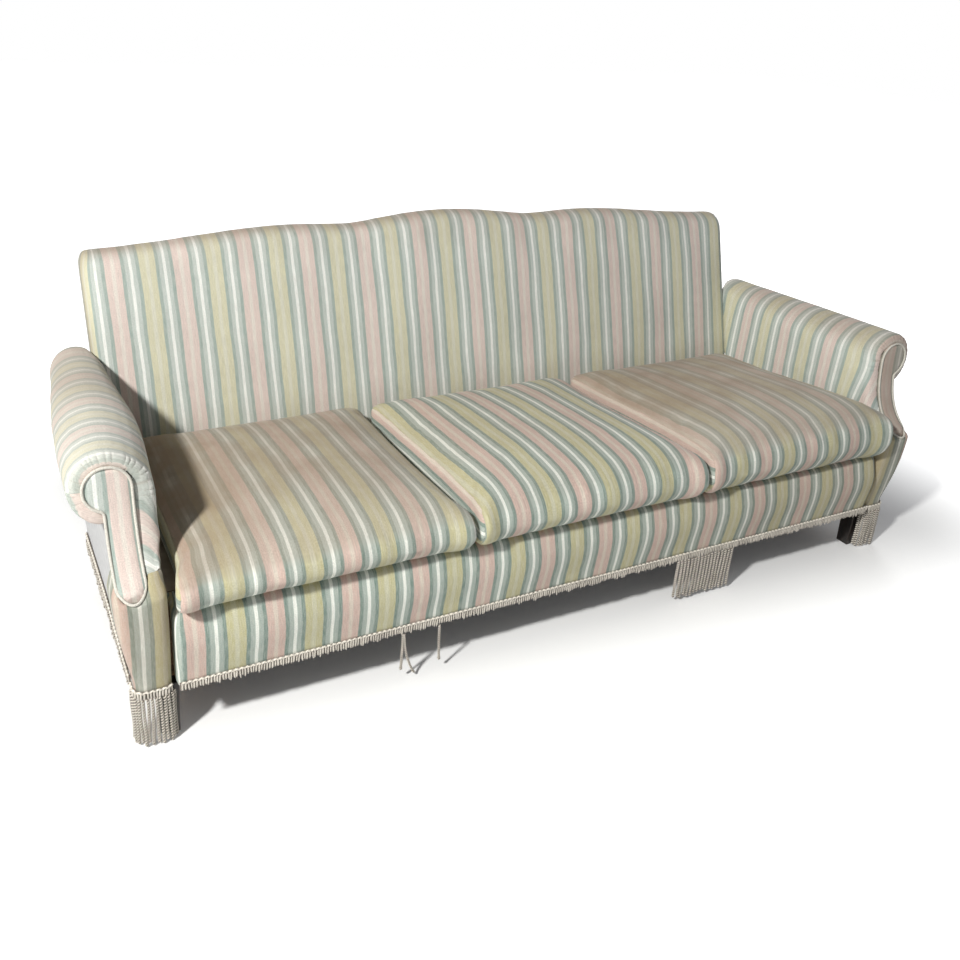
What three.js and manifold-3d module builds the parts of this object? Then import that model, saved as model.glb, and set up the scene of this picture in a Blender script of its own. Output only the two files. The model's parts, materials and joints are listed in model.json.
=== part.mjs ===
// A three-seat camelback sofa: a hardwood frame, a tight reclined back with three humps,
// slender rolled arms with keyhole facings, three loose seat cushions and a bullion fringe
// that is worn away along most of the front. Millimetres, +X along the seat, +Y toward the
// back, +Z up, the floor at zero and the middle of the whole sofa on the Z axis.
import * as THREE from 'three';
import Module from 'manifold-3d';

const wasm = await Module();
wasm.setup();

// ---- sizes shared by every piece
const CLEAR = 0.3;
const OVERRUN = 60;
const WOOD = 22;
const FRAME_Z = 128;
const SEAT_Z = 305.7;
const STRAP_T = 2;
const FACE_Y = -436;

// Seat rail: the boxed front under the cushions. Every width of the sofa follows RAIL_HALF.
const RAIL_HALF = 978;
const RAIL_TRIM_BACK = 10;
const RAIL_BULGE = 12;
const RAIL_WALL = 28;
const RAIL_END_WALL = 15.7;
const RAIL_LIP = 13;
const RAIL_LIP_DEPTH = 62;
const RAIL_EDGE_R = 24;
const RAIL_END_R = 14;

// Back: its front face passes through SEAT_DEPTH at the seat and leans away by LEAN_SHARE.
const SEAT_DEPTH = 656;
const LEAN_SHARE = 0.307;
const BACK_OVERHANG = 10;
const BACK_HALF = RAIL_HALF + BACK_OVERHANG;
const BACK_T = 92;
const BACK_WALL = 30;
const BACK_END_WALL = 13;
const BACK_TOP_WALL = 40;
const BACK_EDGE_R = 44;
const BACK_END_R = 20;
const BACK_PUFF = 9;
const BACK_PUFF_MARGIN = 38;
const BACK_PUFF_HALF = BACK_HALF - BACK_PUFF_MARGIN;
const BACK_PUFF_FADE = 110;
const BACK_SKIN = 14;
const BACK_GAP_Z = 4;
const CROWN_Z = 864;
const DIP_Z = 839;
const HUMP_Z = 846;
const END_Z = 814;
const DIP_X = 302;
const HUMP_X = 470;
const POST_W = 45;
const POST_T = 46;
const TOP_RAIL_H = 70;
const TACK_RAIL_Z = 330;
const TACK_RAIL_H = 50;
const UPRIGHT_X = 320;
const UPRIGHT_W = 40;

// Arms: the keyhole outline of the facing, then the roll and the walls around it.
const ARM_GAP = 7;
const ARM_IN = RAIL_HALF + ARM_GAP;
const NECK_INSET = 35;
const NECK_IN = ARM_IN + NECK_INSET;
const NECK_W = 55;
const NECK_OUT = NECK_IN + NECK_W;
const SCROLL_R = 45;
const SCROLL_X = NECK_IN + SCROLL_R;
const SCROLL_Z = 553;
const FACING_FOOT_Z = 356;
const FACING_FRONT = 2;
const FACING_SWEEP = 106;
const FACING_SWEEP_Z = 62;
const FACING_T = 14;
const FACING_CROWN = 5;
const FACING_CROWN_W = 9;
const NECK_FILLET = 12;
const PIPE_R = 3.2;
const ROLL_SHIFT = 3;
const ROLL_X = SCROLL_X + ROLL_SHIFT;
const ROLL_R = 70;
const ROLL_TAPER = 8;
const ROLL_DROP = 10;
const ROLL_SAG_SHARE = 0.14;
const ROLL_TURN_LEFT = 35;
const ROLL_TURN_RIGHT = 8;
const ARM_PUFF = 11;
const ARM_FOOT_Z = 300;
const ARM_EDGE = 18;
const ARM_REAR_EDGE = 12;
const ARM_REAR_DROP = 5;
const BOARD_TOP_Z = 580;
const CLEAT_Z = 524;
const CLEAT_INSET = 15;
const CLEAT_OUT = NECK_OUT - CLEAT_INSET;
const BOARD_REAR = 20;
const BOARD_GAP = 0.8;
const STUMP_T = 32;
const STUMP_INSET = 6;
const STUMP_TAPER = 35;
const STUMP_OUT = NECK_OUT - STUMP_TAPER;
const STUMP_FRONT = 74;
const STUMP_LAP = 44;
const SIDE_T = 12;
const SIDE_TAPER = 16;
const SIDE_FOOT = NECK_OUT - SIDE_TAPER;
const SIDE_TOP_Z = 470;

// Front posts of the arms, below the facings.
const POST_TRIM_Z = 152;
const POST_TOP_Z = 390;
const POST_BACK = 95;
const POST_SIDE_WALL = 14;
const POST_FRONT_WALL = 14;
const POST_IN_R = 20;
const POST_OUT_R = 20;
const POST_SET_BACK = 20;
const POST_SHOULDER = 26;
const POST_TUCK = 8;
const POST_BULGE = 5;

// Seat frame below the cushions.
const FRONT_BOARD_Z = 290;
const SIDE_RAIL_Z = 250;
const BLOCK_W = 65;
const BLOCK_D = 56;
const BLOCK_TOP_Z = 288;
const BRACE_X = 322;
const BRACE_W = 36;
const BRACE_FOOT_Z = 170;
const BRACE_TOP_Z = 230;
const STRAP_W = 80;
const STRAP_PITCH_SHARE = 0.274;
const STRAP_PITCH = RAIL_HALF * STRAP_PITCH_SHARE;
const STRAP_SIDE_COUNT = 3;
const STRAP_END = 30;
const DECK_LAP = 2;
const DECK_HALF = RAIL_HALF + DECK_LAP;
const DUST_MARGIN = 63;
const DUST_HALF = RAIL_HALF - DUST_MARGIN;
const DUST_T = 2.3;
const DUST_FRONT = 48;
const DUST_REAR = 612;

// Legs.
const LEG_W = 44;
const LEG_FOOT_W = 38;
const FRONT_LEG_TUCK = 6;
const FRONT_LEG_IN = RAIL_HALF - FRONT_LEG_TUCK;
const FRONT_LEG_BACK = 36;
const REAR_LEG_TUCK = 4;
const REAR_LEG_OUT = RAIL_HALF - REAR_LEG_TUCK;
const REAR_LEG_BACK = 628;

// Seat cushions.
const CUSHION_GAP = 4;
const CUSHION_SIDE_GAP = 10;
const CUSHION_HALF_SPAN = RAIL_HALF - CUSHION_SIDE_GAP;
const CUSHION_FRONT = 30;
const CUSHION_REAR_GAP = 4;
const CUSHION_REAR_Z = 398;
const CUSHION_FRONT_Z = 421;
const CUSHION_TILT_SHARE = 0.03;
const CUSHION_CROWN = 26;
const CUSHION_DRAW = 5;
const CUSHION_CORNER_R = 34;
const CUSHION_NOSE = 42;

// Fringe and its woven heading.
const HEAD_Z = 126;
const HEAD_H = 23;
const HEAD_T = 6;
const STUB = 6;
const STUB_W = 7;
const STRAND_R = 4.4;
const STRAND_PITCH = 11.4;
const STRAND_LAP = 3;
const STRAND_FOOT_Z = 9;
const TAB_X = 289;
const TAB_COUNT = 17;
const TAB_BAND = 6;
const ARM_FRINGE_SIDE = 24;
const ARM_HEAD_DROP = 9;
const ARM_STRAND_FOOT_Z = 1;
const LOOSE_R = 3;
const LOOSE_PAIR_X = -486;
const LOOSE_PAIR_SPREAD = 28;
const LOOSE_PAIR_FOOT_Z = 9;
const LOOSE_PAIR_SHORT_Z = 27;
const LOOSE_SINGLE_X = -395;
const LOOSE_SINGLE_FOOT_Z = 26;

// ---- materials
function matter(color, roughness, metalness) {
  return new THREE.MeshStandardMaterial({ color, roughness, metalness });
}
const STRIPE = matter(0xc9c3ad, 0.9, 0);
const SEAT = matter(0xc2b7a0, 0.9, 0);
const WELT = matter(0xe3dacb, 0.85, 0);
const YARN = matter(0xd8cdb8, 0.95, 0);
const TIMBER = matter(0xb08a5c, 0.7, 0);
const LEG = matter(0x141210, 0.45, 0);
const JUTE = matter(0xa98f63, 0.95, 0);
const DECKING = matter(0xbdb3a0, 0.95, 0);
const CAMBRIC = matter(0x26241f, 0.95, 0);

// ---- solids from rings of points
function meshFrom(name, geometry, material) {
  const mesh = new THREE.Mesh(geometry, material);
  mesh.name = name;
  return mesh;
}

function finish(points, index) {
  let volume = 0;
  const [a, b, c] = [new THREE.Vector3(), new THREE.Vector3(), new THREE.Vector3()];
  for (let i = 0; i < index.length; i += 3) {
    a.fromArray(points[index[i]]);
    b.fromArray(points[index[i + 1]]);
    c.fromArray(points[index[i + 2]]);
    volume += a.dot(b.cross(c));
  }
  const order = volume > 0 ? index : index.slice().reverse();
  const geometry = new THREE.BufferGeometry();
  geometry.setAttribute('position', new THREE.Float32BufferAttribute(points.flat(), 3));
  geometry.setIndex(order);
  geometry.computeVertexNormals();
  return geometry;
}

function capFaces(ring, plane) {
  const flat = ring.map((p) => new THREE.Vector2(p[plane[0]], p[plane[1]]));
  const order = flat.map((_, i) => i);
  const turned = THREE.ShapeUtils.area(flat) < 0;
  if (turned) order.reverse();
  const faces = wasm.triangulate([order.map((i) => flat[i].toArray())], 0);
  return faces.map(([i, j, k]) => (
    turned ? [order[i], order[k], order[j]] : [order[i], order[j], order[k]]
  ));
}

// Skins a row of rings with the same number of points and closes both ends.
function loft(rings, plane) {
  const n = rings[0].length;
  const last = rings.length - 1;
  const index = [];
  for (let r = 0; r < last; r += 1) {
    for (let i = 0; i < n; i += 1) {
      const j = (i + 1) % n;
      index.push(r * n + i, r * n + j, (r + 1) * n + j);
      index.push(r * n + i, (r + 1) * n + j, (r + 1) * n + i);
    }
  }
  for (const [i, j, k] of capFaces(rings[0], plane)) index.push(i, k, j);
  for (const [i, j, k] of capFaces(rings[last], plane)) {
    index.push(last * n + i, last * n + j, last * n + k);
  }
  return finish(rings.flat(), index);
}

// Skins rings that come back to the first one.
function loopLoft(rings) {
  const n = rings[0].length;
  const index = [];
  rings.forEach((ring, r) => {
    const s = (r + 1) % rings.length;
    for (let i = 0; i < n; i += 1) {
      const j = (i + 1) % n;
      index.push(r * n + i, r * n + j, s * n + j, r * n + i, s * n + j, s * n + i);
    }
  });
  return finish(rings.flat(), index);
}

const XY = [0, 1];
const XZ = [0, 2];
const YZ = [1, 2];

function box(x0, x1, y0, y1, z0, z1) {
  const geometry = new THREE.BoxGeometry(Math.abs(x1 - x0), y1 - y0, z1 - z0);
  return geometry.translate((x0 + x1) / 2, (y0 + y1) / 2, (z0 + z1) / 2);
}

// A plate whose outline lies in Y and Z and whose two faces stand at x0 and x1.
function plate(outline, x0, x1) {
  const at = (x) => outline.map(([y, z]) => [typeof x === 'function' ? x(z) : x, y, z]);
  return loft([at(x0), at(x1)], YZ);
}

function toBody(geometry) {
  const plain = geometry.clone();
  for (const key of Object.keys(plain.attributes)) {
    if (key !== 'position') plain.deleteAttribute(key);
  }
  const position = plain.attributes.position.array;
  const index = plain.index
    ? plain.index.array
    : Uint32Array.from({ length: position.length / 3 }, (_, i) => i);
  const mesh = new wasm.Mesh({
    numProp: 3,
    vertProperties: new Float32Array(position),
    triVerts: new Uint32Array(index),
  });
  mesh.merge();
  return new wasm.Manifold(mesh);
}

function fromBody(body) {
  const mesh = body.getMesh();
  const geometry = new THREE.BufferGeometry();
  geometry.setAttribute('position', new THREE.Float32BufferAttribute(mesh.vertProperties, 3));
  geometry.setIndex(Array.from(mesh.triVerts));
  geometry.computeVertexNormals();
  return geometry;
}

function cut(geometry, ...tools) {
  return fromBody(tools.reduce((body, tool) => body.subtract(toBody(tool)), toBody(geometry)));
}

function fuse(...pieces) {
  return fromBody(pieces.map(toBody).reduce((a, b) => a.add(b)));
}

// ---- the two leaning planes that everything follows
function backY(z) {
  return FACE_Y + SEAT_DEPTH + LEAN_SHARE * (z - SEAT_Z);
}

// The arm's front sweeps back from the shoulder and stands almost upright at the scroll.
function facingY(z) {
  return FACE_Y + FACING_FRONT + FACING_SWEEP * (1 - Math.exp((FACING_FOOT_Z - z) / FACING_SWEEP_Z));
}

function ease(t) {
  const u = Math.min(1, Math.max(0, t));
  return u * u * (3 - 2 * u);
}

// Height of the back's top edge: a broad middle hump, two sharp dips, two low side humps.
function topZ(x) {
  const u = Math.abs(x);
  if (u < DIP_X) return DIP_Z + (CROWN_Z - DIP_Z) * Math.cos((u / DIP_X) * (Math.PI / 2)) ** 1.35;
  if (u < HUMP_X) {
    return DIP_Z + (HUMP_Z - DIP_Z) * Math.sin(((u - DIP_X) / (HUMP_X - DIP_X)) * (Math.PI / 2));
  }
  return HUMP_Z - (HUMP_Z - END_Z) * ease((u - HUMP_X) / (BACK_HALF - HUMP_X)) ** 0.9;
}

// ---- seat frame
const FRAME = new THREE.Group();
FRAME.name = 'frame';
const BOARD_FRONT = FACE_Y + RAIL_TRIM_BACK + RAIL_WALL + CLEAR;
const BOARD_REAR_Y = BOARD_FRONT + WOOD;
const RAIL_BOARD_HALF = RAIL_HALF - RAIL_END_WALL - CLEAR;
const SIDE_RAIL_IN = ARM_IN;
const SIDE_RAIL_OUT = NECK_IN - CLEAR;
const POST_REAR_Y = FACE_Y + POST_BACK;
const STRAP_Z = FRONT_BOARD_Z + CLEAR;
const LIP_Z = SEAT_Z - RAIL_LIP;
const POST_OUT = BACK_HALF - BACK_END_WALL - CLEAR;
const POST_IN = POST_OUT - POST_W;
const BACK_WOOD_FRONT = BACK_WALL + CLEAR;
const BACK_WOOD_REAR = BACK_T - BACK_SKIN - CLEAR;

function addSides(name, build, material, group) {
  for (const [word, s] of [['left', -1], ['right', 1]]) {
    group.add(meshFrom(`${name}_${word}`, build(s), material));
  }
}

function slanted(z0, z1, from, to) {
  return [
    [backY(z0) + from, z0],
    [backY(z0) + to, z0],
    [backY(z1) + to, z1],
    [backY(z1) + from, z1],
  ];
}

FRAME.add(meshFrom('front_rail_board',
  box(-RAIL_BOARD_HALF, RAIL_BOARD_HALF, BOARD_FRONT, BOARD_REAR_Y, FRAME_Z, FRONT_BOARD_Z), TIMBER));

const backRail = plate(slanted(FRAME_Z, FRONT_BOARD_Z, CLEAR, POST_T), -POST_IN + CLEAR, POST_IN - CLEAR);
FRAME.add(meshFrom('back_bottom_rail', backRail, TIMBER));

addSides('side_rail', (s) => plate([
  [POST_REAR_Y + CLEAR, FRAME_Z],
  [backY(FRAME_Z) - CLEAR, FRAME_Z],
  [backY(SIDE_RAIL_Z) - CLEAR, SIDE_RAIL_Z],
  [POST_REAR_Y + CLEAR, SIDE_RAIL_Z],
], s * SIDE_RAIL_IN, s * SIDE_RAIL_OUT), TIMBER, FRAME);

const BLOCK_OUT = SIDE_RAIL_IN - CLEAR;
const BLOCK_FRONT = BOARD_REAR_Y + CLEAR;
addSides('front_corner_block', (s) => box(
  s * (BLOCK_OUT - BLOCK_W), s * BLOCK_OUT, BLOCK_FRONT, BLOCK_FRONT + BLOCK_D, FRAME_Z, BLOCK_TOP_Z,
), TIMBER, FRAME);

addSides('rear_corner_block', (s) => plate([
  [backY(FRAME_Z) - CLEAR - BLOCK_D - BLOCK_D, FRAME_Z],
  [backY(FRAME_Z) - CLEAR, FRAME_Z],
  [backY(SIDE_RAIL_Z) - CLEAR, SIDE_RAIL_Z],
  [backY(FRAME_Z) - CLEAR - BLOCK_D - BLOCK_D, SIDE_RAIL_Z],
], s * (BLOCK_OUT - BLOCK_W), s * BLOCK_OUT), TIMBER, FRAME);

addSides('seat_brace', (s) => plate([
  [BOARD_REAR_Y + CLEAR, BRACE_FOOT_Z],
  [backY(BRACE_FOOT_Z), BRACE_FOOT_Z],
  [backY(BRACE_TOP_Z), BRACE_TOP_Z],
  [BOARD_REAR_Y + CLEAR, BRACE_TOP_Z],
], s * BRACE_X, s * (BRACE_X + BRACE_W)), TIMBER, FRAME);

for (let i = -STRAP_SIDE_COUNT; i <= STRAP_SIDE_COUNT; i += 1) {
  const x = i * STRAP_PITCH;
  FRAME.add(meshFrom(`seat_strap_${i + STRAP_SIDE_COUNT + 1}`, box(
    x - STRAP_W / 2, x + STRAP_W / 2, BOARD_FRONT, backY(STRAP_Z) + STRAP_END,
    STRAP_Z, STRAP_Z + STRAP_T,
  ), JUTE));
}

const DECK_FRONT = FACE_Y + RAIL_TRIM_BACK + RAIL_WALL + RAIL_LIP_DEPTH + CLEAR;
FRAME.add(meshFrom('seat_deck', plate([
  [DECK_FRONT, LIP_Z],
  [backY(LIP_Z) - CLEAR, LIP_Z],
  [backY(LIP_Z) - CLEAR, SEAT_Z],
  [DECK_FRONT, SEAT_Z],
], -DECK_HALF, DECK_HALF), DECKING));

FRAME.add(meshFrom('dust_cover', box(
  -DUST_HALF, DUST_HALF, FACE_Y + DUST_FRONT, FACE_Y + DUST_REAR,
  FRAME_Z - CLEAR - DUST_T, FRAME_Z - CLEAR,
), CAMBRIC));

// Legs: square blocks that taper a little toward the floor.
function leg(x, y) {
  const ring = (w, z) => [
    [x - w / 2, y - w / 2, z],
    [x + w / 2, y - w / 2, z],
    [x + w / 2, y + w / 2, z],
    [x - w / 2, y + w / 2, z],
  ];
  return loft([ring(LEG_FOOT_W, 0), ring(LEG_W, FRAME_Z - CLEAR)], XY);
}
addSides('front_leg', (s) => leg(
  s * (FRONT_LEG_IN + LEG_W / 2), FACE_Y + FRONT_LEG_BACK + LEG_W / 2,
), LEG, FRAME);
addSides('rear_leg', (s) => leg(
  s * (REAR_LEG_OUT - LEG_W / 2), FACE_Y + REAR_LEG_BACK + LEG_W / 2,
), LEG, FRAME);

// ---- back frame
const POST_HEAD_Z = END_Z - BACK_TOP_WALL - CLEAR - CLEAR;
const STEP_Z = SEAT_Z - BACK_GAP_Z - BACK_GAP_Z;
addSides('back_post', (s) => plate([
  [backY(FRAME_Z) + CLEAR, FRAME_Z],
  [backY(FRAME_Z) + BACK_WOOD_REAR, FRAME_Z],
  [backY(POST_HEAD_Z) + BACK_WOOD_REAR, POST_HEAD_Z],
  [backY(POST_HEAD_Z) + BACK_WOOD_FRONT, POST_HEAD_Z],
  [backY(FRONT_BOARD_Z) + BACK_WOOD_FRONT, FRONT_BOARD_Z],
  [backY(FRONT_BOARD_Z) + CLEAR, FRONT_BOARD_Z],
], s * POST_IN, s * POST_OUT), TIMBER, FRAME);

const RAIL_IN = POST_IN - CLEAR;
const TOP_RAIL_Z = POST_HEAD_Z - TOP_RAIL_H;
const BACK_STATIONS = 34;
const HOLLOW_HALF = BACK_HALF - BACK_END_WALL;

// Slices across the back at the places that every curved piece of it shares.
function stations(half) {
  const places = [-half];
  for (let i = 1; i < BACK_STATIONS; i += 1) {
    const x = HOLLOW_HALF * ((2 * i) / BACK_STATIONS - 1);
    if (Math.abs(x) < half - CLEAR) places.push(x);
  }
  places.push(half);
  return places;
}

function curvedRail(half, low, drop, from, to) {
  return loft(stations(half).map((x) => (
    slanted(low, topZ(x) - drop, from, to).map(([y, z]) => [x, y, z])
  )), YZ);
}
FRAME.add(meshFrom('back_top_rail', curvedRail(
  RAIL_IN, TOP_RAIL_Z, BACK_TOP_WALL + CLEAR + CLEAR, BACK_WOOD_FRONT, BACK_WOOD_REAR,
), TIMBER));
FRAME.add(meshFrom('back_tacking_rail', plate(
  slanted(TACK_RAIL_Z, TACK_RAIL_Z + TACK_RAIL_H, BACK_WOOD_FRONT, BACK_WOOD_FRONT + WOOD),
  -RAIL_IN, RAIL_IN,
), TIMBER));
addSides('back_upright', (s) => plate(
  slanted(TACK_RAIL_Z + TACK_RAIL_H + CLEAR, TOP_RAIL_Z - CLEAR, BACK_WOOD_FRONT, BACK_WOOD_REAR),
  s * (UPRIGHT_X - UPRIGHT_W / 2), s * (UPRIGHT_X + UPRIGHT_W / 2),
), TIMBER, FRAME);

// ---- back upholstery
const BACK = new THREE.Group();
BACK.name = 'back';
const EDGE_STEPS = 6;
const PUFF_SHARES = [0, 0.12, 0.35, 0.6, 0.85, 1];

// One slice of the back: up the front, over the rounded top edge and down the rear.
function backSlice(x, inset) {
  const top = topZ(x) - inset;
  const r = BACK_EDGE_R;
  const shoulder = top - r;
  const front = inset;
  const rear = BACK_T - inset;
  const puff = BACK_PUFF * ease((BACK_PUFF_HALF - Math.abs(x)) / BACK_PUFF_FADE);
  const ring = [];
  for (const share of PUFF_SHARES) {
    const z = FRAME_Z + share * (shoulder - FRAME_Z);
    const rise = Math.max(0, (z - SEAT_Z) / (shoulder - SEAT_Z));
    ring.push([x, backY(z) + front - puff * Math.sin(Math.PI * rise) * ease(share), z]);
  }
  const half = (rear - front) / 2;
  for (let i = 1; i < 2 * EDGE_STEPS; i += 1) {
    const a = (Math.PI * i) / (2 * EDGE_STEPS);
    const z = shoulder + r * Math.sin(a) ** 0.8;
    ring.push([x, backY(z) + front + half * (1 - Math.cos(a)), z]);
  }
  ring.push([x, backY(shoulder) + rear, shoulder]);
  ring.push([x, backY(FRAME_Z) + rear, FRAME_Z]);
  return ring;
}

const BACK_FLAT = BACK_HALF - BACK_END_R;
const ROUND_SHARES = [0, 0.3, 0.7];
const backRings = [];
for (const share of ROUND_SHARES) {
  const drop = 1 - Math.sqrt(1 - (1 - share) ** 2);
  backRings.push(backSlice(-BACK_HALF + share * BACK_END_R, drop * BACK_END_R));
}
for (let i = 0; i <= BACK_STATIONS; i += 1) {
  backRings.push(backSlice(BACK_FLAT * ((2 * i) / BACK_STATIONS - 1), 0));
}
for (const share of ROUND_SHARES.slice().reverse()) {
  const drop = 1 - Math.sqrt(1 - (1 - share) ** 2);
  backRings.push(backSlice(BACK_HALF - share * BACK_END_R, drop * BACK_END_R));
}

// The hollow behind the padding holds the back frame and is open at the rear.
const backHollow = curvedRail(
  HOLLOW_HALF, FRAME_Z - OVERRUN, BACK_TOP_WALL, BACK_WALL, BACK_T + OVERRUN,
);
const backFoot = box(
  -HOLLOW_HALF, HOLLOW_HALF, backY(FRAME_Z) - OVERRUN, backY(STEP_Z) + BACK_T + OVERRUN,
  FRAME_Z - OVERRUN, STEP_Z,
);
BACK.add(meshFrom('back_pad', cut(loft(backRings, YZ), backHollow, backFoot), STRIPE));
BACK.add(meshFrom('back_outside_panel', curvedRail(
  HOLLOW_HALF - CLEAR, FRAME_Z, BACK_TOP_WALL + CLEAR, BACK_T - BACK_SKIN, BACK_T,
), STRIPE));

// ---- front rail cover: a padded box over the rail board with a lip under the cushions
const RAIL = new THREE.Group();
RAIL.name = 'seat_front';
const RAIL_TRIM_Y = FACE_Y + RAIL_TRIM_BACK;
const RAIL_FACE_SHARES = [0, 0.15, 0.35, 0.55, 0.75, 0.9, 1];
function railSlice(x, inset) {
  const ring = [];
  const low = POST_TRIM_Z;
  const high = SEAT_Z - RAIL_EDGE_R;
  ring.push([x, RAIL_TRIM_Y + inset, FRAME_Z]);
  for (const share of RAIL_FACE_SHARES) {
    const z = low + share * (high - low);
    ring.push([x, RAIL_TRIM_Y + inset - RAIL_BULGE * Math.sin((Math.PI * (share + share ** 2)) / 2), z]);
  }
  for (let i = 1; i <= EDGE_STEPS; i += 1) {
    const a = (Math.PI * i) / (2 * EDGE_STEPS);
    ring.push([
      x,
      RAIL_TRIM_Y + inset + RAIL_EDGE_R * (1 - Math.cos(a)),
      high + RAIL_EDGE_R * Math.sin(a),
    ]);
  }
  ring.push([x, DECK_FRONT - CLEAR, SEAT_Z]);
  ring.push([x, DECK_FRONT - CLEAR, FRAME_Z]);
  return ring;
}
const railRings = [];
const RAIL_SPAN_SHARES = [-1, -0.66, -0.33, 0, 0.33, 0.66, 1];
for (const share of ROUND_SHARES) {
  const drop = 1 - Math.sqrt(1 - (1 - share) ** 2);
  railRings.push(railSlice(-RAIL_HALF + share * RAIL_END_R, drop * RAIL_END_R));
}
for (const share of RAIL_SPAN_SHARES) railRings.push(railSlice(share * (RAIL_HALF - RAIL_END_R), 0));
for (const share of ROUND_SHARES.slice().reverse()) {
  const drop = 1 - Math.sqrt(1 - (1 - share) ** 2);
  railRings.push(railSlice(RAIL_HALF - share * RAIL_END_R, drop * RAIL_END_R));
}
const railHollow = box(
  -RAIL_BOARD_HALF - CLEAR, RAIL_BOARD_HALF + CLEAR, BOARD_FRONT - CLEAR, DECK_FRONT + OVERRUN,
  FRAME_Z - OVERRUN, LIP_Z,
);
const railEndHollow = box(
  -RAIL_HALF - OVERRUN, RAIL_HALF + OVERRUN, BOARD_REAR_Y, DECK_FRONT + OVERRUN,
  FRAME_Z - OVERRUN, LIP_Z,
);
RAIL.add(meshFrom('front_rail_cover', cut(loft(railRings, YZ), railHollow, railEndHollow), STRIPE));

// ---- arms
const ARMS = new THREE.Group();
ARMS.name = 'arms';
const FOOT_SHARES = [0.12, 0.32, 0.55, 0.78, 1];
const NECK_STEPS = 10;
const FILLET_STEPS = 3;
const SCROLL_STEPS = 14;
const SCROLL_END_SHARE = 0.93;

// The keyhole outline as levels: a height, its inner and its outer edge, moved outward by
// an offset. Foot arc, straight neck, fillet under the scroll, then the scroll itself.
function keyholeLevels(offset) {
  const footR = (NECK_OUT - NECK_IN) / 2 + offset;
  const footX = (NECK_OUT + NECK_IN) / 2;
  const footZ = FACING_FOOT_Z + (NECK_OUT - NECK_IN) / 2;
  const levels = FOOT_SHARES.map((share) => {
    const a = (Math.PI / 2) * share;
    return [footZ - footR * Math.cos(a), footX - footR * Math.sin(a), footX + footR * Math.sin(a)];
  });
  const hubX = NECK_OUT + NECK_FILLET;
  const reach = SCROLL_R + NECK_FILLET;
  const hubZ = SCROLL_Z - Math.sqrt(reach ** 2 - (hubX - SCROLL_X) ** 2);
  for (let i = 1; i <= NECK_STEPS; i += 1) {
    levels.push([footZ + ((hubZ - footZ) * i) / NECK_STEPS, NECK_IN - offset, NECK_OUT + offset]);
  }
  const end = Math.atan2(SCROLL_Z - hubZ, SCROLL_X - hubX);
  for (let i = 1; i <= FILLET_STEPS; i += 1) {
    const a = Math.PI + ((end - Math.PI) * i) / FILLET_STEPS;
    const r = NECK_FILLET - offset;
    levels.push([hubZ + r * Math.sin(a), NECK_IN - offset, hubX + r * Math.cos(a)]);
  }
  const r = SCROLL_R + offset;
  for (let i = 1; i <= SCROLL_STEPS; i += 1) {
    const a = end - Math.PI + ((SCROLL_END_SHARE * Math.PI) / 2 - end + Math.PI) * (i / SCROLL_STEPS);
    const z = SCROLL_Z + r * Math.sin(a);
    const inner = a > 0 ? SCROLL_X - r * Math.cos(a) : NECK_IN - offset;
    levels.push([z, inner, SCROLL_X + r * Math.cos(a)]);
  }
  return levels;
}

// The scroll's arc, from the point where it meets the outer neck round to its inner side.
function scroll(x0, z0, r, neck) {
  const start = -Math.acos((neck - x0) / r);
  const arc = [];
  for (let i = 0; i <= SCROLL_STEPS; i += 1) {
    const a = start + ((Math.PI - start) * i) / SCROLL_STEPS;
    arc.push([x0 + r * Math.cos(a), z0 + r * Math.sin(a)]);
  }
  return arc;
}

// A keyhole piece that follows the sweep of the arm's front between two depths.
function facingPrism(s, offset, from, to) {
  return loft(keyholeLevels(offset).map(([z, inner, outer]) => [
    [s * inner, facingY(z) + from, z],
    [s * outer, facingY(z) + from, z],
    [s * outer, facingY(z) + to, z],
    [s * inner, facingY(z) + to, z],
  ]), XY);
}

// The covered facing: its front eases down to its edge all round.
const FACING_INSET = PIPE_R + CLEAR;
addSides('arm_facing', (s) => {
  const levels = keyholeLevels(-FACING_INSET);
  const [lowest, highest] = [levels[0][0], levels[levels.length - 1][0]];
  return loft(levels.map(([z, inner, outer]) => {
    const near = Math.min(z - lowest, highest - z);
    const edgeDrop = FACING_CROWN * (1 - ease(near / FACING_CROWN_W));
    const w = Math.min(FACING_CROWN_W, (outer - inner) / 3);
    return [
      [s * inner, facingY(z) + FACING_T, z],
      [s * inner, facingY(z) + FACING_CROWN, z],
      [s * (inner + w), facingY(z) + edgeDrop, z],
      [s * (outer - w), facingY(z) + edgeDrop, z],
      [s * outer, facingY(z) + FACING_CROWN, z],
      [s * outer, facingY(z) + FACING_T, z],
    ];
  }), XY);
}, STRIPE, ARMS);

const PIPE_SIDES = 8;
addSides('facing_piping', (s) => {
  const rings = [];
  for (let i = 0; i < PIPE_SIDES; i += 1) {
    const a = (2 * Math.PI * i) / PIPE_SIDES;
    const levels = keyholeLevels(PIPE_R * Math.cos(a));
    const depth = PIPE_R / 2 + PIPE_R * Math.sin(a);
    const up = levels.map(([z, , outer]) => [s * outer, facingY(z) + depth, z]);
    const down = levels.map(([z, inner]) => [s * inner, facingY(z) + depth, z]).reverse();
    rings.push([...up, ...down]);
  }
  return loopLoft(rings);
}, WELT, ARMS);

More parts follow.
